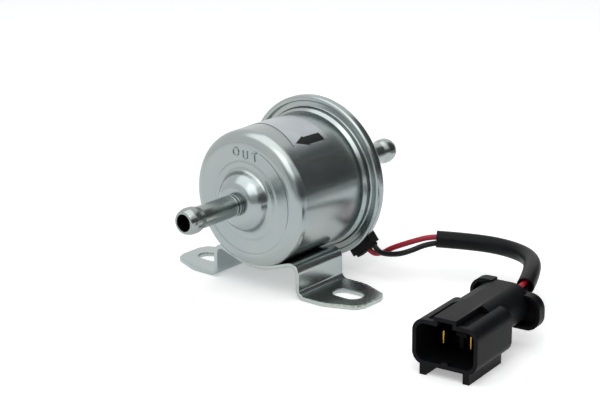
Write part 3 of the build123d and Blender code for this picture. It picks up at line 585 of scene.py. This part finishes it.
def grommet_slot():
    """Box across the cover's wall where the grommet's neck goes through, turned to the leads' exit angle."""
    low, high = np.array(GROMMET_SLOT)
    corner = np.array([[i, j, k] for i in (0, 1) for j in (0, 1) for k in (0, 1)], float)
    across, y, up = (low + corner * (high - low)).T
    angle = math.radians(EXIT_ANGLE)
    x = across * math.cos(angle) + up * math.sin(angle)
    z = -across * math.sin(angle) + up * math.cos(angle) + AXIS_HEIGHT
    faces = [(0, 1, 3, 2), (4, 6, 7, 5), (0, 4, 5, 1), (2, 3, 7, 6), (0, 2, 6, 4), (1, 5, 7, 3)]
    made = linked_object("slot cutter", bare_mesh("slot cutter", np.stack([x, y, z], -1) * MM, faces))
    clean_shell(made)
    return made


class PUMP_OT_can(bpy.types.Operator):
    """Drawn steel can with its shoulder, raised pads, boss and rolled flange"""
    bl_idname = "pump.can"
    bl_label = "Drawn can"

    def execute(self, context):
        made = turned("drawn_can", CAN_PROFILE, material("can plate"), 192)
        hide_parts("barrel_can")
        return {"FINISHED"}


class PUMP_OT_cover(bpy.types.Operator):
    """Rear cover with the rolled rim that grips the can's flange, and the slot for the grommet"""
    bl_idname = "pump.cover"
    bl_label = "Rear cover"

    def execute(self, context):
        made = turned("rolled_cover", COVER_PROFILE, material("can plate"), 192)
        cutter = grommet_slot()
        cut = made.modifiers.new("grommet slot", "BOOLEAN")
        set_up(cut, operation="DIFFERENCE", solver="EXACT", object=cutter)
        apply_modifiers(made)
        bpy.data.objects.remove(cutter)
        shade(made)
        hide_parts("rear_cover")
        return {"FINISHED"}


class PUMP_OT_nipples(bpy.types.Operator):
    """Hose nipples with a bead at the tip and two collars at the boss"""
    bl_idname = "pump.nipples"
    bl_label = "Hose nipples"

    def execute(self, context):
        for name, node, boss_y, outward, length, wall, key in NIPPLES:
            rows = nipple_rows(boss_y, outward, length, wall)
            made = turned(name, rows, material(key), 96, steps=6)
            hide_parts(node)
        return {"FINISHED"}


# Bracket

STRAP = {
    "thickness": 1.6, "half_width": 12.5, "saddle_radius": 25.05, "saddle_angle": 18.0, "leg": 20.2,
    "bend": 2.2, "foot_end": 43.8, "slot_x": 32.5, "slot_half": 6.0, "slot_radius": 3.8, "flat_from": 25.4,
}
FOOT_CORNERS = [
    (31.0, 12.5, 24.0), (42.3, 8.0, 3.0), (43.8, 4.5, 3.0),
    (43.8, -4.5, 3.0), (42.3, -8.0, 3.0), (31.0, -12.5, 24.0),
]


def strap_centreline(s):
    """Upper surface of one half of the strap, from the middle of the saddle to the start of the flat foot."""
    t = s["thickness"]
    angle = math.radians(s["saddle_angle"])
    radius = s["saddle_radius"]
    sweep = np.linspace(0, angle, 14)
    saddle = np.stack([radius * np.sin(sweep), AXIS_HEIGHT - radius * np.cos(sweep)], -1)
    edge = saddle[-1]
    knee = (s["leg"], edge[1] + (s["leg"] - edge[0]) * math.tan(angle))
    corners = [
        (edge[0], edge[1], 0), (knee[0], knee[1], s["bend"] + t), (s["leg"], t, s["bend"]),
        (s["flat_from"], t, 0),
    ]
    rest = rounded_profile(corners, steps=14, least=0.001, closed=False)
    line = np.concatenate([saddle[:-1], rest])
    keep = np.concatenate([[True], np.linalg.norm(np.diff(line, axis=0), axis=1) > 1e-4])
    return line[keep]


def foot_ring(s, around=120, rings=7):
    """Flat foot in rings about its slot: ring v lies v of the way from slot to outline at each angle.

    It gives the rings' x and y, the angles, and the angles of the two ends of the fold line.
    """
    fold, half = s["flat_from"], s["half_width"]
    corners = FOOT_CORNERS + [(fold, -half, 0.0), (fold, half, 0.0)]
    first = rounded_profile(corners, steps=9, least=1e-4) - [s["slot_x"], 0]
    corner = np.degrees(np.arctan2([half, -half], [fold - s["slot_x"]] * 2)) % 360
    angles = np.sort(np.unique(np.concatenate([np.linspace(0, 360, around, endpoint=False), corner])))
    ray = np.stack([np.cos(np.radians(angles)), np.sin(np.radians(angles))], -1)
    edge = np.roll(first, -1, 0) - first
    cross = ray[:, None, 0] * edge[None, :, 1] - ray[:, None, 1] * edge[None, :, 0]
    safe = np.where(np.abs(cross) < 1e-9, 1e-9, cross)
    reach = (first[None, :, 0] * edge[None, :, 1] - first[None, :, 1] * edge[None, :, 0]) / safe
    along = (first[None, :, 0] * ray[:, None, 1] - first[None, :, 1] * ray[:, None, 0]) / safe
    valid = (reach > 0) & (along > -1e-6) & (along < 1 + 1e-6) & (np.abs(cross) > 1e-9)
    outer = np.where(valid, reach, np.inf).min(1)
    straight = s["slot_half"] - s["slot_radius"]
    cos, sin = np.abs(ray[:, 0]), np.abs(ray[:, 1])
    side = s["slot_radius"] / np.maximum(sin, 1e-9)
    end = straight * cos + np.sqrt(np.maximum(s["slot_radius"] ** 2 - (straight * sin) ** 2, 0))
    inner = np.where(side * cos <= straight, side, end)
    share = np.linspace(0, 1, rings)[:, None]
    radius = inner[None, :] * (1 - share) + outer[None, :] * share
    x = s["slot_x"] + radius * ray[None, :, 0]
    y = radius * ray[None, :, 1]
    return x, y, angles, corner


class PUMP_OT_bracket(bpy.types.Operator):
    """Strap bent to a saddle, two legs and two slotted feet, its punched edges rounded"""
    bl_idname = "pump.bracket"
    bl_label = "Strap bracket"

    def execute(self, context):
        s = STRAP
        x, y, angles, corner = foot_ring(s)
        low, high = np.sort(corner)
        on_fold = (angles >= low - 1e-6) & (angles <= high + 1e-6)
        across = np.sort(y[-1][on_fold])
        line = strap_centreline(s)
        whole = np.concatenate([line[::-1] * [-1, 1], line[1:]])
        strap_x = np.repeat(whole[:, :1], len(across), 1)
        strap_z = np.repeat(whole[:, 1:], len(across), 1)
        strap_y = np.broadcast_to(across, strap_x.shape)
        points = [np.stack([strap_x, strap_y, strap_z], -1).reshape(-1, 3)]
        faces = [grid_faces(len(whole), len(across))]
        count = len(points[0])
        for side in (1, -1):
            ring = np.stack([side * x, y, np.full(x.shape, s["thickness"])], -1).reshape(-1, 3)
            points.append(ring)
            quads = grid_faces(x.shape[0], x.shape[1], False, True) + count
            faces.append(quads if side == 1 else quads[:, ::-1])
            count += len(ring)
        points, faces = np.concatenate(points), np.concatenate(faces)
        made = mesh_object("bent_strap", points, faces, material("bracket plate"))
        if made.data.polygons[len(made.data.polygons) // 2].normal.z < 0:
            made.data.flip_normals()
        sheet = made.modifiers.new("sheet", "SOLIDIFY")
        set_up(sheet, thickness=s["thickness"] * MM, offset=-1, use_even_offset=True)
        edge_rounding(made, "punched edge", sizes().stamped_edge, 60.0)
        apply_modifiers(made)
        shade(made)
        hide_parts("mounting_bracket")
        return {"FINISHED"}


# Sticker and markings

# Angles are in degrees up from +X, seen from the front; the front edge is cut back by up to the cut's depth
FILM = {
    "low": 41.5, "high": 122.0, "front": -9.3, "back": 10.5, "cut": 6.0, "cut_over": 58.0, "radius": 25.03,
    "border_low": 54.0, "border_inset": 0.25, "border_width": 0.35, "border_radius": 25.10,
}
ARROW = {
    "tip": -5.6, "length": 13.9, "angle": 56.2, "lean": 0.9, "radius": 25.11,
    "places": [0.0, 0.40, 0.4001, 1.0], "half_widths": [0.0, 5.5, 4.1, 4.1],
}
# Letters with their x and their height over the axis, on the face's plane
FLOW_WORD = [("O", -4.35, 17.05), ("U", 0.05, 16.55), ("T", 4.35, 16.4)]
FACE_Y = -16.75
# Share of the font's size that a capital fills, narrowing, share of the height that thins the strokes,
# rounding in mm, and the turn from letter to letter in degrees
LETTER = {"capital": 0.69, "narrowing": 0.88, "thinning": 0.03, "edge": 0.09, "turn": 6.0}


def on_barrel(y, degrees, radius):
    """Points on a cylinder about the pump's axis, from places along it and angles up from +X."""
    angle = np.radians(degrees)
    points = np.stack([radius * np.cos(angle), y, AXIS_HEIGHT + radius * np.sin(angle)], -1)
    return points.reshape(-1, 3)


def film_front(degrees):
    """Front edge of the film: y grows with the power 1.1 of the angle's share of the cut, up to its depth."""
    share = np.clip((degrees - FILM["low"]) / FILM["cut_over"], 0, 1)
    return FILM["front"] + FILM["cut"] * share ** 1.1


def lift_outwards(made):
    """Turns an open sheet's faces away from the pump's axis."""
    middle = made.data.polygons[len(made.data.polygons) // 2]
    away = Vector((middle.center.x, 0, middle.center.z - AXIS_HEIGHT * MM))
    if middle.normal.dot(away) < 0:
        made.data.flip_normals()


def arrow_points():
    """Flow arrow on the film: its half width grows from the tip to the head's base, then steps in."""
    along = np.array(ARROW["places"])
    u = np.unique(np.concatenate([np.linspace(0, 1, 60), along]))
    width = np.interp(u, along, ARROW["half_widths"])
    v = np.linspace(-1, 1, 13)
    y = ARROW["tip"] + ARROW["length"] * np.repeat(u[:, None], len(v), 1)
    degrees = ARROW["angle"] - ARROW["lean"] * u[:, None] + width[:, None] * v[None, :]
    return on_barrel(y, degrees, ARROW["radius"]), grid_faces(len(u), len(v))


def border_points():
    """Thin line along the film's front edge, from where the print starts to the film's far end."""
    degrees = np.linspace(FILM["border_low"], FILM["high"], 90)
    u, turn = np.meshgrid(np.linspace(0, 1, 3), degrees, indexing="ij")
    y = film_front(degrees)[None, :] + FILM["border_inset"] + FILM["border_width"] * u
    return on_barrel(y, turn, FILM["border_radius"]), grid_faces(3, 90)


class PUMP_OT_sticker(bpy.types.Operator):
    """Printed film wrapped over the barrel, with its border line and the flow arrow"""
    bl_idname = "pump.sticker"
    bl_label = "Sticker"

    def execute(self, context):
        u, v = np.meshgrid(np.linspace(0, 1, 28), np.linspace(0, 1, 90), indexing="ij")
        degrees = FILM["low"] + (FILM["high"] - FILM["low"]) * v
        front = film_front(degrees)
        points = on_barrel(front + (FILM["back"] - front) * u, degrees, FILM["radius"])
        made = mesh_object("printed_film", points, grid_faces(28, 90), material("sticker"))
        lift_outwards(made)
        set_up(made.modifiers.new("film", "SOLIDIFY"), thickness=sizes().sticker_thickness, offset=1)
        apply_modifiers(made)
        shade(made)
        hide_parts("flow_label")
        for name, (points, faces) in (("film_border", border_points()), ("flow_arrow", arrow_points())):
            lift_outwards(mesh_object(name, points, faces, material("print")))
        return {"FINISHED"}


class PUMP_OT_flow_word(bpy.types.Operator):
    """Flow direction word pressed into the front face"""
    bl_idname = "pump.flow_word"
    bl_label = "Flow word"

    def execute(self, context):
        s = sizes()
        narrowing = Matrix.Scale(LETTER["narrowing"], 4, (1, 0, 0))
        upright = Matrix.Rotation(math.radians(90), 4, "X")
        for index, (glyph, x, z) in enumerate(FLOW_WORD):
            letter = linked_object("glyph", set_up(
                bpy.data.curves.new("glyph", "FONT"), body=glyph, size=s.letter_height / LETTER["capital"],
                align_x="CENTER", align_y="CENTER", offset=-LETTER["thinning"] * s.letter_height,
                extrude=s.letter_relief, bevel_depth=LETTER["edge"] * MM, bevel_resolution=2,
            ))
            mesh = evaluated_mesh(letter)
            bpy.data.objects.remove(letter)
            tilt = Matrix.Rotation(math.radians(LETTER["turn"] * (1 - index)), 4, "Y")
            place = Matrix.Translation(Vector((x, FACE_Y, AXIS_HEIGHT + z)) * MM)
            mesh.transform(place @ tilt @ upright @ narrowing)
            made = linked_object(f"pressed_letter_{index + 1}", mesh)
            clean_shell(made)
            shade(made, 40)
            dress(made, material("face plate"))
        return {"FINISHED"}


# Leads, sleeve and connector

# The points that the soft solids are swept along, a few of them moved to follow the photograph
SLEEVE_ROUTE = [
    (45.3, 36.2, 15.0), (56.7, 44.0, 14.2), (70.0, 46.6, 13.8), (83.1, 40.6, 14.4), (92.4, 25.5, 15.2),
    (95.8, 16.0, 14.2),
]
RED_ROUTE = [
    (19.62, 26.9, 10.2), (22.4, 26.9, 6.9), (26.5, 29.0, 7.7), (29.8, 28.2, 10.2), (37.4, 31.1, 13.7),
    (44.06, 35.35, 16.14), (56.7, 44.0, 15.25), (70.0, 46.6, 14.85), (83.1, 40.6, 15.45), (92.4, 25.5, 16.25),
    (96.3, 13.5, 15.0), (91.23, 8.41, 10.6), (91.89, 1.54, 10.6),
]
BLACK_ROUTE = [
    (22.07, 26.9, 12.25), (25.16, 26.9, 8.58), (29.8, 26.3, 8.5), (37.5, 26.6, 10.3), (44.06, 35.35, 14.04),
    (56.7, 44.0, 13.15), (70.0, 46.6, 12.75), (83.1, 40.6, 13.35), (92.4, 25.5, 14.15), (97.0, 13.6, 12.9),
    (101.08, 9.36, 10.6), (101.75, 2.49, 10.6),
]
# Piece, node, route, finish, slot
LEADS = (
    ("red_lead", "red_wire", RED_ROUTE, "red pvc", "red_pvc"),
    ("black_lead", "black_wire", BLACK_ROUTE, "black pvc", "black_pvc"),
)
SLEEVE_BORE = 2.45


def route_curve(name, route, radius):
    """Curve object with one open NURBS spline whose control points are the route's points."""
    curve = set_up(
        bpy.data.curves.new(name, "CURVE"), dimensions="3D", resolution_u=24,
        bevel_depth=radius, bevel_resolution=6, use_fill_caps=radius > 0,
    )
    spline = curve.splines.new("NURBS")
    spline.points.add(len(route) - 1)
    flat = np.concatenate([np.asarray(route, float) * MM, np.ones((len(route), 1))], 1)
    spline.points.foreach_set("co", flat.ravel())
    set_up(spline, order_u=3, use_endpoint_u=True)
    return linked_object(name, curve)


def route_points(route):
    """Points along the route's own NURBS spline, in millimetres."""
    helper = route_curve("route helper", route, 0.0)
    mesh = evaluated_mesh(helper)
    flat = np.empty(len(mesh.vertices) * 3)
    mesh.vertices.foreach_get("co", flat)
    bpy.data.objects.remove(helper)
    bpy.data.meshes.remove(mesh)
    return flat.reshape(-1, 3) / MM


def line_length(points):
    """Length of the line through the points."""
    return float(np.linalg.norm(np.diff(points, axis=0), axis=1).sum())


def tube_frames(path):
    """Unit tangent, side and up at each point of a path that lies mostly level."""
    ahead = np.gradient(path, axis=0)
    ahead /= np.linalg.norm(ahead, axis=1)[:, None]
    side = np.cross(ahead, [0, 0, 1.0])
    side /= np.linalg.norm(side, axis=1)[:, None]
    return ahead, side, np.cross(side, ahead)


def sleeve_wall(path, outer, inner):
    """Tube wall along a path, from its outer and inner radius.

    The wall's section is one closed line of places along the path, each with a radius: along the outside, a
    half circle round the end, back along the inside, and a half circle round the mouth. Each place carries a
    circle, radius times cosine to the side and radius times sine upwards, and is narrowed in bends.
    """
    around, bulge, narrowing, sharpest_bend = 48, 0.3, 0.05, 22.0
    ahead, side, up = tube_frames(path)
    count = len(path)
    arc = np.linspace(0, np.pi, 7)[1:-1]
    lip, middle = (outer - inner) / 2, (outer + inner) / 2
    place = np.concatenate([
        np.arange(count), np.full(len(arc), count - 1), np.arange(count)[::-1], np.zeros(len(arc), int),
    ])
    offset = np.concatenate([np.zeros(count), bulge * np.sin(arc), np.zeros(count), -bulge * np.sin(arc)])
    radius = np.concatenate([
        np.full(count, outer), middle + lip * np.cos(arc), np.full(count, inner), middle - lip * np.cos(arc),
    ])
    turn = np.linspace(0, 2 * np.pi, around, endpoint=False)
    bend = np.linalg.norm(np.gradient(ahead, axis=0), axis=1)
    bend = bend / np.linalg.norm(np.gradient(path, axis=0), axis=1) * sharpest_bend
    flat = 1 - narrowing * np.clip(bend, 0, 1)
    centre = path[place] + ahead[place] * offset[:, None]
    across = (radius * flat[place])[:, None, None] * np.cos(turn)[None, :, None] * side[place][:, None, :]
    high = radius[:, None, None] * np.sin(turn)[None, :, None] * up[place][:, None, :]
    points = (centre[:, None, :] + across + high).reshape(-1, 3)
    return points, grid_faces(len(place), around, True, True)


class PUMP_OT_leads(bpy.types.Operator):
    """Red and black leads from the grommet through the sleeve into the connector"""
    bl_idname = "pump.leads"
    bl_label = "Leads"

    def execute(self, context):
        radius = sizes().lead_diameter / 2
        for name, node, route, key, slot in LEADS:
            made = route_curve(name, route, radius)
            made.data.materials.append(material(key))
            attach(made, "pump")
            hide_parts(node)
            length = line_length(route_points(route)) * MM
        return {"FINISHED"}


class PUMP_OT_sleeve(bpy.types.Operator):
    """Vinyl sleeve round both leads"""
    bl_idname = "pump.sleeve"
    bl_label = "Sleeve"

    def execute(self, context):
        path = route_points(SLEEVE_ROUTE)
        points, faces = sleeve_wall(path, sizes().sleeve_diameter / MM / 2, SLEEVE_BORE)
        made = mesh_object("vinyl_sleeve", points, faces, material("sleeve pvc"))
        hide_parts("wire_sleeve")
        return {"FINISHED"}


class PUMP_OT_connector(bpy.types.Operator):
    """Connector housing, rear cap, lock tongue, blades and lead seals with moulded edges"""
    bl_idname = "pump.connector"
    bl_label = "Connector"

    def execute(self, context):
        for node, name, key, slot, width in (
            ("connector_housing", "connector_shell", "nylon", "connector_black", sizes().moulded_edge / MM),
            ("connector_rear_holder", "connector_cap", "nylon", "connector_black", 0.3),
            ("terminal_lock", "lock_tongue", "nylon", "connector_black", 0.15),
            ("blade_terminals", "blade_pair", "brass", "brass", 0.08),
            ("wire_seals", "lead_seals", "red rubber", "red_rubber", 0.1),
        ):
            softened(node, name, material(key), width)
        return {"FINISHED"}


class PUMP_OT_grommet(bpy.types.Operator):
    """Rubber grommet where the leads come out of the cover"""
    bl_idname = "pump.grommet"
    bl_label = "Grommet"

    def execute(self, context):
        softened("wire_grommet", "rubber_grommet", material("rubber"), 0.35)
        return {"FINISHED"}


# Springs

# Piece, node, middle radius, wire, turns, first and last y, joint, its travel, y of the still end, body
SPRINGS = (
    ("return_coil", "return_spring", 4.2, 0.7, 7, (-0.53, 15.63), "plunger_slide", 4.0, 15.63, "pump"),
    ("delivery_coil", "delivery_valve_spring", 2.9, 0.4, 4, (-17.05, -13.6), "delivery_valve_slide", 1.2,
     -17.05, "plunger"),
    ("inlet_coil", "inlet_valve_spring", 2.9, 0.4, 4, (24.65, 28.65), "inlet_valve_slide", 1.2,
     24.65, "pump"),
)


def wound_wire(radius, wire, turns, start, end):
    """Compression spring about the pump's axis, with a closed turn at each end.

    The middle of the wire is a helix: x and z are the radius times the cosine and sine of the angle turned,
    and y grows by about one wire over the first and the last turn and evenly between them. The section is a
    circle in the plane of the axis, and the wire's two ends close to their middle.
    """
    steps, around, closed, lift = 24, 10, 0.9, 0.97 * wire
    turn = np.linspace(0, turns, turns * steps + 1)
    height = end - start - wire
    rise = np.interp(turn, [0, closed, turns - closed, turns], [0, lift, height - lift, height])
    half = np.full_like(turn, wire / 2)
    turn, rise, half = np.pad(turn, 1, "edge"), np.pad(rise, 1, "edge"), np.pad(half, 1)
    angle = 2 * np.pi * turn[:, None]
    section = np.linspace(0, 2 * np.pi, around, endpoint=False)[None, :]
    reach = radius + half[:, None] * np.cos(section)
    y = start + wire / 2 + rise[:, None] + half[:, None] * np.sin(section)
    points = np.stack([reach * np.cos(angle), y, AXIS_HEIGHT + reach * np.sin(angle)], -1)
    return points.reshape(-1, 3), grid_faces(len(turn), around, wrap_columns=True)


class PUMP_OT_springs(bpy.types.Operator):
    """Return spring and the two valve springs, wound about the pump's axis"""
    bl_idname = "pump.springs"
    bl_label = "Springs"

    def execute(self, context):
        for name, node, radius, wire, turns, (start, end), joint, travel, fixed, body in SPRINGS:
            points, faces = wound_wire(radius, wire, turns, start, end)
            made = mesh_object(name, points, faces, material("spring steel"), body)
            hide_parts(node)
            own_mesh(made)
        return {"FINISHED"}


# Finishes of the inner nodes

INNER_FINISHES = {
    "cover_gasket": "rubber", "board_leads": "black pvc", "front_pole_plate": "steel",
    "rear_pole_plate": "steel",
    "coil_bobbin": "natural nylon", "coil_winding": "winding", "coil_tape": "film tape",
    "retaining_ring": "spring steel", "guide_tube": "brass", "stop_cushion": "brown rubber",
    "plunger": "steel",
    "delivery_valve_disc": "brown rubber", "delivery_valve_retainer": "brass", "pole_piece": "steel",
    "inlet_valve_disc": "brown rubber", "inlet_valve_seat": "brass", "inlet_filter": "bronze mesh",
    "board_insulator": "fibre", "circuit_board": "board", "power_transistor": "epoxy",
    "capacitor": "film blue", "board_resistors": "ceramic", "seal_washer": "steel",
    "front_o_ring": "red rubber", "rear_o_ring": "red rubber",
}


class PUMP_OT_inner_finishes(bpy.types.Operator):
    """Finishes of the pieces inside the can and the cover"""
    bl_idname = "pump.inner_finishes"
    bl_label = "Inner finishes"

    def execute(self, context):
        for node, key in INNER_FINISHES.items():
            for place in NODES[node].material_slots:
                place.material = material(key)
        return {"FINISHED"}


# Stage

# Camera fitted to the photograph: focal length in mm, place, and azimuth, elevation and roll in degrees
CAMERA = {"lens": 101.87, "place": (0.381117, -0.444012, 0.214370), "angles": (39.823, 17.479, -0.717)}
# Boards that only reflections see: name, place, point they face, size, lowest and highest grey
BOARDS = (
    ("dark board behind", (0.225, 0.446, 0.29), (0.0, 0.0, 0.29), (0.48, 0.56), (0.04, 0.16)),
    ("dark board right", (0.548, -0.02, 0.20), (0.0, 0.0, 0.20), (0.86, 0.38), (0.05, 0.16)),
    ("dark mat behind", (0.16, 0.30, 0.003), (0.16, 0.30, 1.0), (0.30, 0.30), (0.30, 0.30)),
    ("grey board front", (0.40, -0.69, 0.20), (0.0, 0.0, 0.20), (0.90, 0.38), (0.40, 0.50)),
)
WHITE = (1.0, 1.0, 1.0, 1.0)


def rectangle(name, half_x, half_y):
    """Flat mesh of one face about the origin."""
    corners = [(-half_x, -half_y, 0), (half_x, -half_y, 0), (half_x, half_y, 0), (-half_x, half_y, 0)]
    return bare_mesh(name, corners, [(0, 1, 2, 3)])


def area_light(name, place, target, size, power):
    """Square lamp that looks from one point to another."""
    lamp = set_up(bpy.data.lights.new(name, "AREA"), shape="SQUARE", size=size, energy=power)
    turn = (Vector(target) - Vector(place)).to_track_quat("-Z", "Y").to_euler()
    set_up(linked_object(name, lamp), location=place, rotation_euler=turn)


def lit_board(tree, low, high, grey):
    """Grey that glows by itself, from a lower to an upper value between two heights."""
    height = add_node(tree, "ShaderNodeSeparateXYZ", {"Vector": object_pattern(tree)})
    level = add_node(tree, "ShaderNodeMapRange", {
        "Value": height.outputs["Z"], "From Min": low, "From Max": high, "To Min": grey[0], "To Max": grey[1],
    })
    return add_node(tree, "ShaderNodeEmission", {"Color": WHITE, "Strength": level.outputs["Result"]})


def board(name, place, target, size, grey):
    """Plain board beside the object that only its reflections see."""
    half_x, half_y = size[0] / 2, size[1] / 2
    mesh = rectangle(name, half_x, half_y)
    turn = (Vector(target) - Vector(place)).to_track_quat("Z", "Y").to_matrix().to_4x4()
    mesh.transform(Matrix.Translation(Vector(place)) @ turn)
    made = linked_object(name, mesh)
    mesh.materials.append(new_material(name, lit_board, place[2] - half_y, place[2] + half_y, grey))
    set_up(made, visible_camera=False, visible_diffuse=False, visible_shadow=False)


def background_rays(tree):
    """1 for the camera, glossy and transmission rays, which see the pale background, and 0 for the others."""
    path = add_node(tree, "ShaderNodeLightPath")
    seen = path.outputs["Is Camera Ray"]
    for kind in ("Is Glossy Ray", "Is Transmission Ray"):
        both = add_node(tree, "ShaderNodeMath", {0: seen, 1: path.outputs[kind]}, operation="MAXIMUM")
        seen = both.outputs[0]
    return seen


def studio_paper(tree, colour):
    """Matt white paper that looks a little brighter than the light on it makes it."""
    matte = add_node(tree, "ShaderNodeBsdfDiffuse", {"Color": linear(colour)})
    glow = add_node(tree, "ShaderNodeEmission", {"Color": linear(colour), "Strength": 0.34})
    both = add_node(tree, "ShaderNodeAddShader", {0: matte.outputs[0], 1: glow.outputs[0]})
    return add_node(tree, "ShaderNodeMixShader", {
        0: background_rays(tree), 1: matte.outputs[0], 2: both.outputs[0],
    })


def paper_floor(colour):
    """Floor just under the feet."""
    mesh = rectangle("floor", 3, 3)
    mesh.transform(Matrix.Translation((0, 0, -0.05 * MM)))
    mesh.materials.append(new_material("White studio paper", studio_paper, colour))
    linked_object("floor", mesh)


def studio_world():
    """Dim grey light all round, seen as plain white behind the object and in its reflections."""
    world = bpy.data.worlds.new("Studio")
    world.use_nodes = True
    tree = world.node_tree
    tree.nodes.clear()
    dim = add_node(tree, "ShaderNodeBackground", {"Color": linear("#F4F6F8"), "Strength": 0.4})
    white = add_node(tree, "ShaderNodeBackground", {"Color": WHITE, "Strength": 1.0})
    mix = add_node(tree, "ShaderNodeMixShader", {
        0: background_rays(tree), 1: dim.outputs[0], 2: white.outputs[0],
    })
    add_node(tree, "ShaderNodeOutputWorld", {"Surface": mix.outputs[0]})
    return world


def photo_camera():
    """Camera whose back points along the azimuth, from -Y towards +X, and the elevation, then rolled."""
    made = linked_object("camera", set_up(
        bpy.data.cameras.new("camera"), sensor_fit="HORIZONTAL", sensor_width=36.0, lens=CAMERA["lens"],
        clip_start=0.01, clip_end=20.0,
    ))
    azimuth, elevation, roll = (math.radians(a) for a in CAMERA["angles"])
    level = Vector((math.cos(azimuth), math.sin(azimuth), 0))
    out = Vector((math.sin(azimuth), -math.cos(azimuth), 0))
    back = out * math.cos(elevation) + Vector((0, 0, math.sin(elevation)))
    upright = back.cross(level)
    right = level * math.cos(roll) + upright * math.sin(roll)
    up = upright * math.cos(roll) - level * math.sin(roll)
    turn = Matrix((right, up, back)).transposed().to_4x4()
    made.matrix_world = Matrix.Translation(CAMERA["place"]) @ turn
    return made


class PUMP_OT_stage(bpy.types.Operator):
    """Pale floor, soft studio light and the camera"""
    bl_idname = "pump.stage"
    bl_label = "Stage"

    def execute(self, context):
        scene = context.scene
        settings = scene.pump_stage
        paper_floor(settings.floor)
        scene.world = studio_world()
        area_light("overhead softbox", (0.0, -0.1, 0.85), (0.03, 0.0, 0.03), 1.1, settings.key_power)
        area_light("front softbox", (0.41, -0.47, 0.69), (0.02, 0.0, 0.03), 0.58, settings.fill_power)
        for name, place, target, size, grey in BOARDS:
            board(name, place, target, size, grey)
        scene.camera = photo_camera()
        scene.view_settings.view_transform = "Standard"
        return {"FINISHED"}


class PUMP_PT_panel(bpy.types.Panel):
    """Sizes, colours and pieces of the fuel pump"""
    bl_idname = "PUMP_PT_panel"
    bl_label = "Fuel Pump"
    bl_space_type = "VIEW_3D"
    bl_region_type = "UI"
    bl_category = "Fuel Pump"

    def draw(self, context):
        layout = self.layout
        scene = context.scene
        groups = {"Sizes": scene.pump_sizes, "Colours": scene.pump_colours, "Stage": scene.pump_stage}
        for title, group in groups.items():
            box = layout.box()
            box.label(text=title)
            for name in group.__annotations__:
                box.prop(group, name)
        box = layout.box()
        box.label(text="Pieces")
        for operator in OPERATORS:
            box.operator(operator.bl_idname)


OPERATORS = (
    PUMP_OT_stage, PUMP_OT_can, PUMP_OT_cover, PUMP_OT_nipples, PUMP_OT_bracket, PUMP_OT_sticker,
    PUMP_OT_flow_word, PUMP_OT_grommet, PUMP_OT_connector, PUMP_OT_leads, PUMP_OT_sleeve,
    PUMP_OT_springs, PUMP_OT_inner_finishes,
)
CLASSES = (PumpSizes, PumpColours, StageSettings) + OPERATORS + (PUMP_PT_panel,)


def register():
    """Makes the classes known and adds the settings to the scene."""
    for item in CLASSES:
        bpy.utils.register_class(item)
    bpy.types.Scene.pump_sizes = PointerProperty(type=PumpSizes)
    bpy.types.Scene.pump_colours = PointerProperty(type=PumpColours)
    bpy.types.Scene.pump_stage = PointerProperty(type=StageSettings)


def unregister():
    """Takes the settings and the classes away again."""
    del bpy.types.Scene.pump_stage
    del bpy.types.Scene.pump_colours
    del bpy.types.Scene.pump_sizes
    for item in reversed(CLASSES):
        bpy.utils.unregister_class(item)


def main():
    """Makes every piece and the stage."""
    register()
    for operator in OPERATORS:
        group, name = operator.bl_idname.split(".")
        getattr(getattr(bpy.ops, group), name)()
    bpy.context.view_layer.update()


if __name__ == "__main__":
    main()
